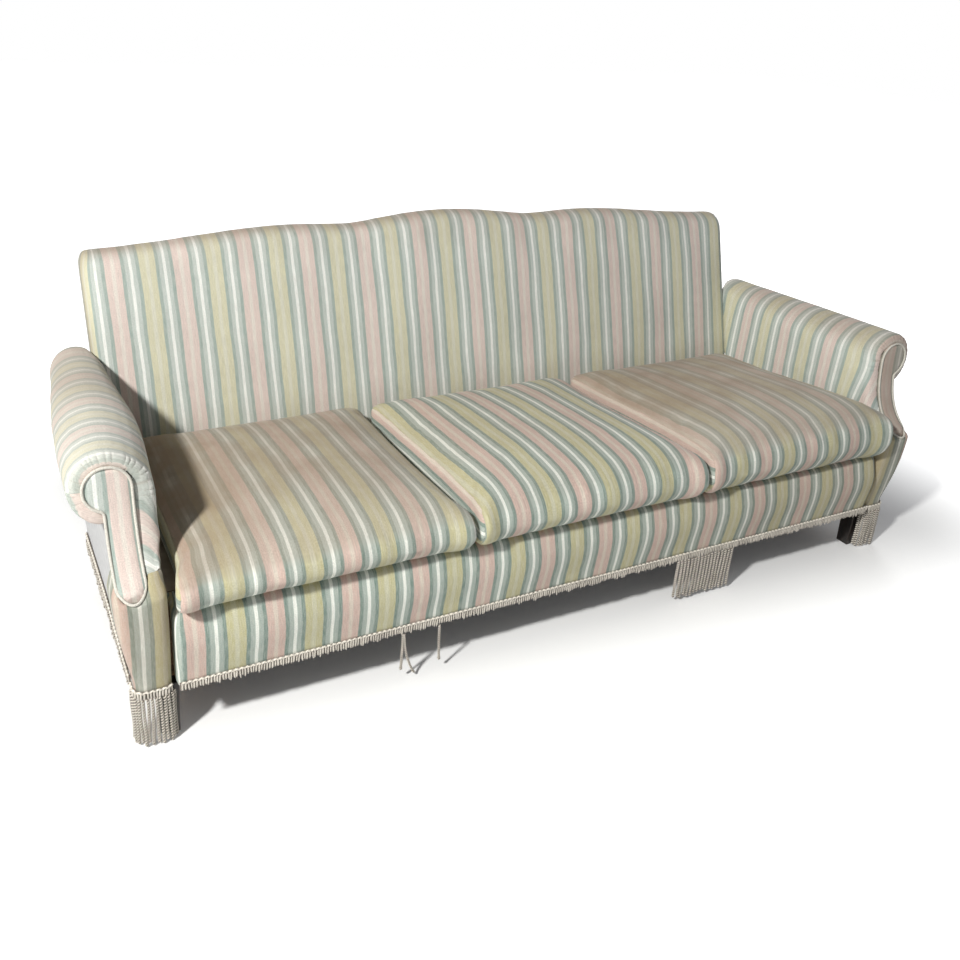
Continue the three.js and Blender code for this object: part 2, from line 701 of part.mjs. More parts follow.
// The padded roll and inner wall, one slice: outer skin, then the hollow for the arm frame.
// Toward the back the roll grows thinner, sinks a little and turns in over the seat.
const WALL_SHARES = [0, 0.06, 0.13, 0.21, 0.31, 0.43, 0.58, 0.78];
const WALL_LEVELS = [ARM_FOOT_Z, ...WALL_SHARES.map((share) => POST_TOP_Z + share * (SCROLL_Z - POST_TOP_Z))];
const LIP = PIPE_R + CLEAR;
const CAVE_IN = NECK_IN - CLEAR;
const CAVE_TOP = BOARD_TOP_Z + CLEAR;
const CAVE_OUT = CLEAT_OUT + CLEAR;
const CAVE_LOW = CLEAT_Z - CLEAR;
function armSkin(s, w, puff, along) {
  const lerp = (a, b) => a + (b - a) * w;
  const neck = NECK_OUT + LIP;
  const turn = s < 0 ? ROLL_TURN_LEFT : ROLL_TURN_RIGHT;
  const x0 = lerp(SCROLL_X, ROLL_X) - turn * along;
  const z0 = SCROLL_Z - ROLL_DROP * along;
  const r = lerp(SCROLL_R + LIP, ROLL_R) - ROLL_TAPER * along;
  const inner = lerp(NECK_IN - LIP, ARM_IN);
  const skin = scroll(x0, z0, r, neck).map(([x, z]) => [
    x0 + (x - x0) * (1 + puff / r),
    z < z0 ? z0 + (z - z0) * (1 + ROLL_SAG_SHARE * w) : z,
  ]);
  const rollIn = x0 - r - puff;
  for (const level of WALL_LEVELS.slice().reverse()) {
    const rise = (level - ARM_FOOT_Z) / (SCROLL_Z - ARM_FOOT_Z);
    skin.push([inner + (rollIn - inner) * rise ** 3, Math.min(level, z0 - (SCROLL_Z - level) / 2)]);
  }
  return skin;
}
const armCave = [
  ...WALL_LEVELS.map((level) => [CAVE_IN, level]),
  [CAVE_IN, CAVE_TOP],
  [CAVE_OUT, CAVE_TOP],
  [CAVE_OUT, CAVE_LOW],
  [NECK_OUT + LIP, CAVE_LOW],
];

function armFrontY(z) {
  return facingY(Math.max(z, POST_TOP_Z)) + PIPE_R + PIPE_R / 2 + CLEAR + CLEAR;
}

const ROLL_STEPS = 4;
const ROLL_LENGTH_SHARES = [0.25, 0.5, 0.75];
function armPadRings(s) {
  const rings = [];
  const slice = (w, puff, along, y) => rings.push([...armSkin(s, w, puff, along), ...armCave].map(
    ([x, z]) => [s * x, y(z), z],
  ));
  for (let i = 0; i <= ROLL_STEPS; i += 1) {
    const a = (Math.PI * i) / (2 * ROLL_STEPS);
    slice(Math.sin(a) ** 0.8, 0, 0, (z) => armFrontY(z) + ARM_EDGE * (1 - Math.cos(a)));
  }
  const rear = (z) => backY(z) - CLEAR;
  for (const share of ROLL_LENGTH_SHARES) {
    slice(1, ARM_PUFF * Math.sin(Math.PI * share), share, (z) => (
      (armFrontY(z) + ARM_EDGE) * (1 - share) + (rear(z) - ARM_REAR_EDGE) * share
    ));
  }
  slice(1, 0, 1, (z) => rear(z) - ARM_REAR_EDGE);
  slice(1 - ARM_REAR_DROP / (ROLL_R - SCROLL_R), 0, 1, rear);
  return rings;
}

const STUMP_REAR = FACING_T + CLEAR + STUMP_T;
addSides('arm_pad', (s) => cut(
  loft(armPadRings(s), XZ),
  facingPrism(s, -PIPE_R, -OVERRUN, STUMP_REAR + CLEAR),
  box(s * (ARM_IN - OVERRUN), s * (NECK_OUT + OVERRUN), FACE_Y - OVERRUN, POST_REAR_Y + CLEAR,
    ARM_FOOT_Z - OVERRUN, POST_TOP_Z + CLEAR),
), STRIPE, ARMS);

// Outer face of the arm under the roll, which tapers in toward the floor.
function sideX(z) {
  const rise = (z - FRAME_Z) / (SIDE_TOP_Z - FRAME_Z);
  return SIDE_FOOT + (NECK_OUT - SIDE_FOOT) * rise;
}

// The post in the roll: a keyhole block behind the facing on a square foot, relieved on its
// outer side for the outside panel.
const STUMP_Y = FACE_Y + STUMP_FRONT;
const STUMP_IN = ARM_IN + POST_SIDE_WALL + CLEAR;
function sideRelief(s) {
  const outline = [
    [FACE_Y - OVERRUN, FRAME_Z],
    [0, FRAME_Z],
    [0, SIDE_TOP_Z + CLEAR],
    [FACE_Y - OVERRUN, SIDE_TOP_Z + CLEAR],
  ];
  return plate(outline, (z) => s * (sideX(z) - SIDE_T - CLEAR), s * (NECK_OUT + OVERRUN));
}
addSides('arm_stump', (s) => cut(fuse(
  facingPrism(s, -STUMP_INSET, FACING_T + CLEAR, STUMP_REAR),
  box(s * (NECK_IN + CLEAR), s * STUMP_OUT, STUMP_Y, POST_REAR_Y,
    FRAME_Z, FACING_FOOT_Z + STUMP_LAP),
  box(s * STUMP_IN, s * STUMP_OUT, STUMP_Y, POST_REAR_Y,
    FRAME_Z, POST_TOP_Z - CLEAR),
), sideRelief(s)), TIMBER, FRAME);

const BOARD_IN = NECK_IN + CLEAR;
const BOARD_OUT = BOARD_IN + WOOD;
const BOARD_FOOT_Y = POST_REAR_Y + CLEAR;
const SWEEP_STEPS = 9;

// Points up an edge that follows the sweep of the arm's front, from one height to another.
function sweptEdge(z0, z1, depth) {
  const edge = [];
  for (let i = 0; i <= SWEEP_STEPS; i += 1) {
    const z = z0 + ((z1 - z0) * i) / SWEEP_STEPS;
    edge.push([Math.max(BOARD_FOOT_Y, facingY(z) + depth), z]);
  }
  return edge;
}
const BOARD_DEPTH = STUMP_REAR + BOARD_GAP;
addSides('arm_board', (s) => plate([
  [BOARD_FOOT_Y, FRAME_Z],
  [backY(FRAME_Z) - BOARD_REAR, FRAME_Z],
  [backY(BOARD_TOP_Z) - BOARD_REAR, BOARD_TOP_Z],
  ...sweptEdge(BOARD_TOP_Z, POST_TOP_Z, BOARD_DEPTH),
].filter(([, z], i, all) => i < 3 || z < all[i - 1][1]), s * BOARD_IN, s * BOARD_OUT), TIMBER, FRAME);
addSides('arm_roll_cleat', (s) => plate([
  [backY(CLEAT_Z) - BOARD_REAR, CLEAT_Z],
  [backY(BOARD_TOP_Z) - BOARD_REAR, BOARD_TOP_Z],
  ...sweptEdge(BOARD_TOP_Z, CLEAT_Z, BOARD_DEPTH),
], s * (BOARD_OUT + CLEAR), s * CLEAT_OUT), TIMBER, FRAME);

// Outside of the arm: a flat covered panel under the roll, tapering in toward the floor.
const panelEdge = [];
for (let i = 0; i <= SWEEP_STEPS; i += 1) {
  const z = SIDE_TOP_Z + ((POST_TOP_Z + CLEAR - SIDE_TOP_Z) * i) / SWEEP_STEPS;
  panelEdge.push([facingY(z) + FACING_T + BOARD_GAP, z]);
}
addSides('arm_outside_panel', (s) => {
  const outline = [
    [POST_REAR_Y + CLEAR, FRAME_Z],
    [backY(FRAME_Z) - CLEAR, FRAME_Z],
    [backY(SIDE_TOP_Z) - CLEAR, SIDE_TOP_Z],
    ...panelEdge,
    [POST_REAR_Y + CLEAR, POST_TOP_Z + CLEAR],
  ];
  return plate(outline, (z) => s * (sideX(z) - SIDE_T), (z) => s * sideX(z));
}, STRIPE, ARMS);

// The covered post below the facing: rounded front corners, wider at the shoulder.
const POST_SHARES = [0, 0.2, 0.42, 0.65, 0.85, 1];
const POST_HEAD_SHARES = [0.25, 0.55, 1];
const CORNER_STEPS = 5;
function postFrontY(z) {
  const t = (z - POST_TRIM_Z) / (FACING_FOOT_Z - POST_TRIM_Z);
  if (t <= 0) return FACE_Y + POST_SET_BACK;
  if (t >= 1) return facingY(z);
  const straight = FACE_Y + POST_SET_BACK + (FACING_FRONT - POST_SET_BACK) * t;
  return straight - POST_BULGE * Math.sin(Math.PI * t);
}
function postOutX(z) {
  const t = (z - POST_TRIM_Z) / (FACING_FOOT_Z - POST_TRIM_Z);
  const tuck = POST_TUCK * ease((z - FACING_FOOT_Z) / (POST_TOP_Z - FACING_FOOT_Z));
  return SIDE_FOOT + POST_SHOULDER * Math.sin((Math.PI / 2) * Math.min(1, Math.max(0, t))) - tuck;
}

// Plan of the post's skin, offset outward, from the outer side round the front to the inner.
function postPlan(z, offset, outerBack, innerBack) {
  const front = postFrontY(z) - offset;
  const out = postOutX(z) + offset;
  const inn = ARM_IN - offset;
  const plan = [[out, outerBack]];
  for (let i = 0; i <= CORNER_STEPS; i += 1) {
    const a = (Math.PI / 2) * (i / CORNER_STEPS);
    const r = POST_OUT_R + offset;
    plan.push([out - r + r * Math.cos(a), front + r - r * Math.sin(a)]);
  }
  for (let i = 0; i <= CORNER_STEPS; i += 1) {
    const a = (Math.PI / 2) * (i / CORNER_STEPS);
    const r = POST_IN_R + offset;
    plan.push([inn + r - r * Math.sin(a), front + r - r * Math.cos(a)]);
  }
  plan.push([inn, innerBack]);
  return plan;
}
function postRing(s, z) {
  const wallY = postFrontY(z) + POST_FRONT_WALL;
  const out = postOutX(z) - POST_SIDE_WALL;
  const inn = ARM_IN + POST_SIDE_WALL;
  return [
    ...postPlan(z, 0, POST_REAR_Y, POST_REAR_Y),
    [inn, POST_REAR_Y],
    [inn, wallY],
    [out, wallY],
    [out, POST_REAR_Y],
  ].map(([x, y]) => [s * x, y, z]);
}
addSides('arm_post_cover', (s) => {
  const rings = [postRing(s, FRAME_Z)];
  for (const share of POST_SHARES) {
    rings.push(postRing(s, POST_TRIM_Z + share * (FACING_FOOT_Z - POST_TRIM_Z)));
  }
  for (const share of POST_HEAD_SHARES) {
    rings.push(postRing(s, FACING_FOOT_Z + share * (POST_TOP_Z - FACING_FOOT_Z)));
  }
  return cut(loft(rings, XY), facingPrism(s, LIP, -OVERRUN, FACING_T + CLEAR));
}, STRIPE, ARMS);

// ---- fringe: a woven heading with what is left of its cords
const FRINGE = new THREE.Group();
FRINGE.name = 'fringe';
const HEAD_TOP = HEAD_Z + HEAD_H;

// A strip along X or Y whose lower edge is cut in short uneven stubs, but for the places
// where whole cords are left.
const STUB_TURN_SHARES = [2.4, 0.37];
function stubbedOutline(length, whole) {
  const count = Math.round(length / STUB_W);
  const outline = [[0, HEAD_TOP]];
  for (let i = 0; i <= count; i += 1) {
    const u = (length * i) / count;
    const wave = (1 + Math.sin(i * STUB_TURN_SHARES[0]) * Math.cos(i * STUB_TURN_SHARES[1])) / 2;
    const z = i % 2 === 0 || whole(u) ? HEAD_Z : HEAD_Z - STUB * wave;
    outline.push([u, z]);
  }
  outline.push([length, HEAD_TOP]);
  return outline;
}
const headLength = 2 * (RAIL_HALF - RAIL_END_R);
const headBack = RAIL_TRIM_Y - CLEAR;
const TAB_W = 2 * STRAND_R + (TAB_COUNT - 1) * STRAND_PITCH;
const wholeSpans = [
  [TAB_X, TAB_X + TAB_W],
  [LOOSE_PAIR_X - LOOSE_R, LOOSE_PAIR_X + 3 * LOOSE_R],
  [LOOSE_SINGLE_X - LOOSE_R, LOOSE_SINGLE_X + LOOSE_R],
];
const headOutline = stubbedOutline(headLength, (u) => wholeSpans.some(
  ([from, to]) => u - headLength / 2 > from - STUB_W && u - headLength / 2 < to + STUB_W,
));
FRINGE.add(meshFrom('front_heading', loft([
  headOutline.map(([u, z]) => [u - headLength / 2, headBack - HEAD_T, z]),
  headOutline.map(([u, z]) => [u - headLength / 2, headBack, z]),
], XZ), YARN));

const SIDE_HEAD_FRONT = POST_REAR_Y - (POST_BACK - POST_SET_BACK - POST_OUT_R - ARM_FRINGE_SIDE) + CLEAR;
const sideHeadLength = backY(FRAME_Z) - CLEAR - SIDE_HEAD_FRONT;
const sideOutline = stubbedOutline(sideHeadLength, () => false);
const sideHeadX = sideX(HEAD_TOP) + CLEAR;
addSides('side_heading', (s) => loft([
  sideOutline.map(([u, z]) => [s * sideHeadX, SIDE_HEAD_FRONT + u, z]),
  sideOutline.map(([u, z]) => [s * (sideHeadX + HEAD_T), SIDE_HEAD_FRONT + u, z]),
], YZ), YARN, FRINGE);

// A hanging cord: six flat sides, its top lapped into the heading above.
const STRAND_SIDES = 6;
function strand(x, y, z0, z1) {
  const ring = (z) => Array.from({ length: STRAND_SIDES }, (_, i) => {
    const a = (2 * Math.PI * i) / STRAND_SIDES;
    return [x + STRAND_R * Math.cos(a), y + STRAND_R * Math.sin(a), z];
  });
  return loft([ring(z0), ring(z1)], XY);
}

// The tab of full-length cords that is left right of the middle.
const tabY = headBack - STRAND_R;
const tabTop = HEAD_Z - CLEAR;
const tabStrands = [];
for (let i = 0; i < TAB_COUNT; i += 1) {
  const x = TAB_X + STRAND_R + i * STRAND_PITCH;
  tabStrands.push(strand(x, tabY, STRAND_FOOT_Z, tabTop - TAB_BAND + STRAND_LAP));
}
FRINGE.add(meshFrom('front_fringe_tab', fuse(
  box(TAB_X, TAB_X + TAB_W, tabY - HEAD_T / 2, tabY + HEAD_T / 2, tabTop - TAB_BAND, tabTop),
  ...tabStrands,
), YARN));

// The few cords that hang loose left of the middle: a pair that parts and a single one.
function looseCord(route) {
  return loft(route.map(([x, z]) => Array.from({ length: STRAND_SIDES }, (_, i) => {
    const a = (2 * Math.PI * i) / STRAND_SIDES;
    return [x + LOOSE_R * Math.cos(a), headBack - HEAD_T / 2 + LOOSE_R * Math.sin(a), z];
  })), XY);
}
const BEND_SHARES = [0, 0.2, 0.45, 0.72, 1];
function cordRoute(x, drift, foot) {
  return BEND_SHARES.map((share) => [x + drift * share ** 2, tabTop + (foot - tabTop) * share]).reverse();
}
FRINGE.add(meshFrom('loose_cord_double', fuse(
  looseCord(cordRoute(LOOSE_PAIR_X, -LOOSE_R, LOOSE_PAIR_SHORT_Z)),
  looseCord(cordRoute(LOOSE_PAIR_X + LOOSE_R, LOOSE_PAIR_SPREAD, LOOSE_PAIR_FOOT_Z)),
), YARN));
FRINGE.add(meshFrom('loose_cord_single', looseCord(
  cordRoute(LOOSE_SINGLE_X, LOOSE_R, LOOSE_SINGLE_FOOT_Z),
), YARN));

// The fringe round the front of each post keeps its cords.
const WRAP_OUT_Y = FACE_Y + POST_SET_BACK + POST_OUT_R + ARM_FRINGE_SIDE;
const WRAP_IN_Y = FACE_Y + FRONT_LEG_BACK - CLEAR - STRAND_R;
function wrapPoints(offset) {
  const inner = (p) => p[0] < (ARM_IN + SIDE_FOOT) / 2;
  return postPlan(FRAME_Z, offset, WRAP_OUT_Y, WRAP_IN_Y)
    .filter((p, i, plan) => i < plan.length - 1 && !(inner(p) && p[1] > WRAP_IN_Y));
}
addSides('arm_fringe', (s) => {
  const outer = wrapPoints(CLEAR + HEAD_T);
  const inner = wrapPoints(CLEAR).reverse();
  const ring = [...outer, ...inner];
  const low = HEAD_Z - ARM_HEAD_DROP;
  const band = loft([low, low + HEAD_H].map((z) => ring.map(([x, y]) => [s * x, y, z])), XY);
  const path = new THREE.CurvePath();
  const mid = wrapPoints(CLEAR + STRAND_R).map(([x, y]) => new THREE.Vector2(s * x, y));
  for (let i = 1; i < mid.length; i += 1) path.add(new THREE.LineCurve(mid[i - 1], mid[i]));
  const length = path.getLength() - 2 * STRAND_R;
  const count = Math.floor(length / STRAND_PITCH);
  const cords = [];
  for (let i = 0; i <= count; i += 1) {
    const p = path.getPointAt((STRAND_R + (length * i) / count) / path.getLength());
    cords.push(strand(p.x, p.y, ARM_STRAND_FOOT_Z, low + STRAND_LAP));
  }
  return fuse(band, ...cords);
}, YARN, FRINGE);

// ---- loose seat cushions
const CUSHIONS = new THREE.Group();
CUSHIONS.name = 'cushions';
const CUSHION_W = (2 * CUSHION_HALF_SPAN - 2 * CUSHION_GAP) / 3;
const CUSHION_Z = SEAT_Z + CLEAR;
const SIDE_POINTS = 8;
const ROUND_POINTS = 4;

// Plan of a cushion at one height: straight sides drawn in between rounded corners.
function cushionPlan(inset, nose, rearY, frontY) {
  const half = CUSHION_W / 2 - inset;
  const y0 = frontY + nose;
  const y1 = rearY - inset;
  const r = Math.max(CUSHION_CORNER_R - inset / 2, CUSHION_CORNER_R / 3);
  const corners = [
    [half - r, y0 + r, -Math.PI / 2],
    [half - r, y1 - r, 0],
    [r - half, y1 - r, Math.PI / 2],
    [r - half, y0 + r, Math.PI],
  ];
  const plan = [];
  corners.forEach(([cx, cy, start], c) => {
    for (let i = 0; i <= ROUND_POINTS; i += 1) {
      const a = start + (Math.PI / 2) * (i / ROUND_POINTS);
      plan.push([cx + r * Math.cos(a), cy + r * Math.sin(a)]);
    }
    const [nx, ny] = [corners[(c + 1) % 4][0], corners[(c + 1) % 4][1]];
    const end = start + Math.PI / 2;
    const [ax, ay] = [cx + r * Math.cos(end), cy + r * Math.sin(end)];
    const [bx, by] = [nx + r * Math.cos(end), ny + r * Math.sin(end)];
    const draw = c === 1 ? 0 : CUSHION_DRAW * (c === 3 ? -1 : 1);
    for (let i = 1; i < SIDE_POINTS; i += 1) {
      const t = i / SIDE_POINTS;
      const pull = draw * Math.sin(Math.PI * t);
      plan.push([
        ax + (bx - ax) * t - pull * Math.cos(end),
        ay + (by - ay) * t - pull * Math.sin(end),
      ]);
    }
  });
  return plan;
}

// Each level: share of the edge height, share of the rounding drawn in, share of the nose.
const LEVEL_SHARES = [
  [0, 1, 1.15],
  [0.04, 0.55, 0.85],
  [0.18, 0.15, 0.35],
  [0.42, 0, 0],
  [0.66, 0, 0.1],
  [0.84, 0.15, 0.42],
  [0.95, 0.5, 0.85],
];
const CUSHION_ROUND = 14;
const CROWN_SHARES = [
  [0.12, 0.2],
  [0.3, 0.55],
  [0.52, 0.83],
  [0.76, 0.97],
];
function cushion(x) {
  const frontY = FACE_Y - CUSHION_FRONT;
  const rearAt = (z) => backY(z) - CUSHION_REAR_GAP - BACK_PUFF;
  const edgeAt = (u, y) => {
    const share = ease((backY(CUSHION_REAR_Z) - y) / SEAT_DEPTH);
    const front = CUSHION_FRONT_Z + CUSHION_TILT_SHARE * (x + u);
    return CUSHION_REAR_Z + (front - CUSHION_REAR_Z) * share;
  };
  const rings = LEVEL_SHARES.map(([up, inset, nose]) => {
    const z = CUSHION_Z + up * (CUSHION_REAR_Z - CUSHION_Z);
    return cushionPlan(inset * CUSHION_ROUND, nose * CUSHION_NOSE, rearAt(z), frontY)
      .map(([u, y]) => [x + u, y, CUSHION_Z + up * (edgeAt(u, y) - CUSHION_Z)]);
  });
  const rim = cushionPlan(CUSHION_ROUND, CUSHION_NOSE, rearAt(CUSHION_REAR_Z), frontY);
  const midY = (frontY + rearAt(CUSHION_REAR_Z)) / 2;
  for (const [inShare, upShare] of CROWN_SHARES) {
    const k = 1 - inShare;
    rings.push(rim.map(([u, y]) => {
      const [v, w] = [u * k, midY + (y - midY) * k];
      return [x + v, w, edgeAt(v, w) + CUSHION_CROWN * upShare];
    }));
  }
  return loft(rings, XY);
}
for (const [word, i] of [['left', -1], ['middle', 0], ['right', 1]]) {
  CUSHIONS.add(meshFrom(`seat_cushion_${word}`, cushion(i * (CUSHION_W + CUSHION_GAP)), SEAT));
}

const SOFA = new THREE.Group();
SOFA.name = 'camelback_sofa';
SOFA.add(FRAME, BACK, RAIL, ARMS, FRINGE, CUSHIONS);

export default SOFA;
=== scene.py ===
# A three-seat camelback sofa in a faded striped cloth: a tight reclined back, slender rolled
# arms with keyhole facings, three loose seat cushions and what is left of a bullion fringe.
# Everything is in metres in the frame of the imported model, with the floor at zero.
import json
import math
import random

import bpy
import numpy as np
from mathutils import Matrix, Vector

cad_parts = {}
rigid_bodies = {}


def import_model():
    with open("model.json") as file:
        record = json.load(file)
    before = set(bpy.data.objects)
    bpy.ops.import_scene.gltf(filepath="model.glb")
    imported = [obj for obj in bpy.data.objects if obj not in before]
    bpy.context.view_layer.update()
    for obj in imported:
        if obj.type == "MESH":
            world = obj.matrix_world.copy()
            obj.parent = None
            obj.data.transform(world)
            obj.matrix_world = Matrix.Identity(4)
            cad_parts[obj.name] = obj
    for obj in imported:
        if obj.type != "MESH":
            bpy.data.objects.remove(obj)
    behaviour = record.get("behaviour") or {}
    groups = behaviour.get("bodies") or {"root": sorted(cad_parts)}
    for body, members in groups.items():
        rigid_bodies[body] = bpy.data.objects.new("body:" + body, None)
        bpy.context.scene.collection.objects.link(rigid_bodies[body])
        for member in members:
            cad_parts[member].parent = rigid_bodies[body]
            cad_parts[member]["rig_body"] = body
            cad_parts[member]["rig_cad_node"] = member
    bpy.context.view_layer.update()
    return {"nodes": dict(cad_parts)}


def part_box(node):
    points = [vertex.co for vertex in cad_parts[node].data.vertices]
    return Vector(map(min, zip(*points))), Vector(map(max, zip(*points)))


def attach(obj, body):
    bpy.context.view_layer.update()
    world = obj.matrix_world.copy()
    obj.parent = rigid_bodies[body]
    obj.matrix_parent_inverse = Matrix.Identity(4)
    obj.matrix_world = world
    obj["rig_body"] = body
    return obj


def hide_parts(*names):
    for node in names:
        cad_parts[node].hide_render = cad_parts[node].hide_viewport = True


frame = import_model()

bpy.ops.object.select_all(action="DESELECT")

# ---- Camera
# It stands left of the sofa at eye height and looks down along the seat, as the photograph
# does. The shift of the lens puts the sofa where the photograph has it.
CAMERA_PLACE = (-1.2613, -2.0143, 1.4483)
CAMERA_RIGHT = Vector((0.88968, -0.45318, 0.05559))
CAMERA_UP = Vector((0.13806, 0.38307, 0.91334))
CAMERA_AHEAD = Vector((0.43521, 0.80491, -0.40338))
CAMERA_SENSOR = 36
CAMERA_LENS = 36.2
CAMERA_SHIFT = (0.0323, -0.0711)
bpy.ops.object.camera_add(location=CAMERA_PLACE)
camera = bpy.context.object
turned = Matrix((CAMERA_RIGHT, CAMERA_UP, -CAMERA_AHEAD)).transposed().to_4x4()
camera.matrix_world = Matrix.Translation(CAMERA_PLACE) @ turned
camera.data.sensor_width = CAMERA_SENSOR
camera.data.lens = CAMERA_LENS
camera.data.shift_x, camera.data.shift_y = CAMERA_SHIFT
bpy.context.scene.camera = camera


# ---- Floor, background and lamps
# A plain pale floor that runs into a white background, one lamp high on the left, an even
# fill, and a weak lamp behind: the left arm shades the back and the first cushion.
def tone(red, green, blue):
    """An sRGB colour, 0 to 255, as Blender's linear colour."""
    shares = [value / 255 for value in (red, green, blue)]
    linear = [s / 12.92 if s <= 0.04045 else ((s + 0.055) / 1.055) ** 2.4 for s in shares]
    return (*linear, 1.0)


FLOOR_TONE = tone(246, 246, 245)
FLOOR_SIZE = 30.0
FLOOR_NEAR = (0.15, 0.21)
FLOOR_NEAR_HALF = (1.06, 0.51)
FLOOR_FADE = 0.70
FLOOR_LIFT_NEAR = 0.03
KEY_PLACE = Vector((-3.25, -1.92, 3.18))
KEY_SIZE = 0.35
KEY_POWER = 212
KEY_COLOUR = (1.0, 0.995, 0.975)
REAR_PLACE = Vector((2.9, 2.7, 2.5))
REAR_SIZE = 2.0
REAR_POWER = 40
LAMP_TARGET = Vector((0.0, 0.0, 0.4))
FILL_COLOUR = tone(246, 248, 255)
FILL_STRENGTH = 0.18

bpy.ops.mesh.primitive_grid_add(x_subdivisions=4, y_subdivisions=4, size=FLOOR_SIZE)
floor = bpy.context.object
floor.name = "floor"
floor_finish = bpy.data.materials.new("floor_paint")
floor_finish.use_nodes = True
nodes, links = floor_finish.node_tree.nodes, floor_finish.node_tree.links
nodes.clear()
paint = nodes.new("ShaderNodeBsdfDiffuse")
paint.inputs["Color"].default_value = FLOOR_TONE
lift = nodes.new("ShaderNodeEmission")
lift.inputs["Color"].default_value = (1, 1, 1, 1)


def join_math(operation, first, second=None):
    """One Math node beside its first input, a socket; the second is a socket or a number."""
    tree = first.id_data
    node = tree.nodes.new("ShaderNodeMath")
    node.operation = operation
    tree.links.new(first, node.inputs[0])
    if isinstance(second, (int, float)):
        node.inputs[1].default_value = second
    elif second is not None:
        tree.links.new(second, node.inputs[1])
    return node.outputs[0]


def object_place(finish):
    """The place on the piece in metres, as a socket of this material."""
    return finish.node_tree.nodes.new("ShaderNodeTexCoord").outputs["Object"]


def split(vector):
    """The three numbers of a vector, as sockets."""
    parts = vector.id_data.nodes.new("ShaderNodeSeparateXYZ")
    vector.id_data.links.new(vector, parts.inputs[0])
    return parts.outputs


floor_place = split(object_place(floor_finish))
past = []
for axis in (0, 1):
    from_middle = join_math("ABSOLUTE", join_math("SUBTRACT", floor_place[axis], FLOOR_NEAR[axis]))
    beyond = join_math("MAXIMUM", join_math("SUBTRACT", from_middle, FLOOR_NEAR_HALF[axis]), 0.0)
    past.append(join_math("MULTIPLY", beyond, beyond))
away = join_math("SQRT", join_math("ADD", *past))
fade = nodes.new("ShaderNodeMapRange")
fade.interpolation_type = "SMOOTHSTEP"
fade.inputs["From Max"].default_value = FLOOR_FADE
fade.inputs["To Min"].default_value = FLOOR_LIFT_NEAR
links.new(away, fade.inputs["Value"])
links.new(fade.outputs[0], lift.inputs["Strength"])
seen = nodes.new("ShaderNodeLightPath")
both = nodes.new("ShaderNodeAddShader")
choice = nodes.new("ShaderNodeMixShader")
out = nodes.new("ShaderNodeOutputMaterial")
links.new(paint.outputs[0], both.inputs[0])
links.new(lift.outputs[0], both.inputs[1])
links.new(seen.outputs["Is Camera Ray"], choice.inputs["Fac"])
links.new(paint.outputs[0], choice.inputs[1])
links.new(both.outputs[0], choice.inputs[2])
links.new(choice.outputs[0], out.inputs["Surface"])
floor.data.materials.append(floor_finish)

world = bpy.data.worlds.new("studio")
bpy.context.scene.world = world
world.use_nodes = True
nodes, links = world.node_tree.nodes, world.node_tree.links
nodes.clear()
fill = nodes.new("ShaderNodeBackground")
fill.inputs["Color"].default_value = FILL_COLOUR
fill.inputs["Strength"].default_value = FILL_STRENGTH
white = nodes.new("ShaderNodeBackground")
white.inputs["Color"].default_value = (1, 1, 1, 1)
white.inputs["Strength"].default_value = 1.0
seen = nodes.new("ShaderNodeLightPath")
shown = join_math("MAXIMUM", seen.outputs["Is Camera Ray"], seen.outputs["Is Glossy Ray"])
shown = join_math("MAXIMUM", shown, seen.outputs["Is Transmission Ray"])
choice = nodes.new("ShaderNodeMixShader")
out = nodes.new("ShaderNodeOutputWorld")
links.new(shown, choice.inputs["Fac"])
links.new(fill.outputs[0], choice.inputs[1])
links.new(white.outputs[0], choice.inputs[2])
links.new(choice.outputs[0], out.inputs["Surface"])

for lamp_place, size, power, colour in (
    (KEY_PLACE, KEY_SIZE, KEY_POWER, KEY_COLOUR), (REAR_PLACE, REAR_SIZE, REAR_POWER, (1, 1, 1)),
):
    bpy.ops.object.light_add(type="AREA", location=lamp_place)
    lamp = bpy.context.object
    lamp.data.shape = "DISK"
    lamp.data.size = size
    lamp.data.energy = power
    lamp.data.color = colour
    lamp.rotation_euler = (lamp_place - LAMP_TARGET).to_track_quat("Z", "Y").to_euler()
bpy.context.scene.view_settings.view_transform = "Standard"


# ---- Back pad
# The tight padded back: one layer of stuffing under the striped cloth, drawn over the curved
# top edge and the two ends and tacked down behind. Its stripes run up and down.
def select_only(piece):
    """Makes this piece the only one selected, and the active one."""
    bpy.ops.object.select_all(action="DESELECT")
    piece.select_set(True)
    bpy.context.view_layer.objects.active = piece


MERGE_WITHIN = 0.00005


def merge_doubles(piece):
    """Joins the loose triangles of a copied CAD mesh at their corners."""
    select_only(piece)
    bpy.ops.object.mode_set(mode="EDIT")
    bpy.ops.mesh.select_all(action="SELECT")
    bpy.ops.mesh.remove_doubles(threshold=MERGE_WITHIN)
    bpy.ops.object.mode_set(mode="OBJECT")


def remeshed_copy(node, name, voxel, passes):
    """A new piece in the place of a CAD node: the same form as an even mesh, made smooth."""
    piece = bpy.data.objects.new(name, frame["nodes"][node].data.copy())
    bpy.context.collection.objects.link(piece)
    piece.data.materials.clear()
    merge_doubles(piece)
    even = piece.modifiers.new("even", "REMESH")
    even.mode = "VOXEL"
    even.voxel_size = voxel
    bpy.ops.object.modifier_apply(modifier="even")
    relax = piece.modifiers.new("relax", "SMOOTH")
    relax.factor = 0.5
    relax.iterations = passes
    bpy.ops.object.modifier_apply(modifier="relax")
    bpy.ops.object.shade_smooth()
    return piece


def stands_for(piece, node, finish, body="sofa"):
    """The piece takes its finish, and the node's place and body."""
    piece.data.materials.append(finish)
    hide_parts(node)
    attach(piece, body)


def points_of(piece):
    """The mesh's points, one row each."""
    flat = np.empty(len(piece.data.vertices) * 3)
    piece.data.vertices.foreach_get("co", flat)
    return flat.reshape(-1, 3)


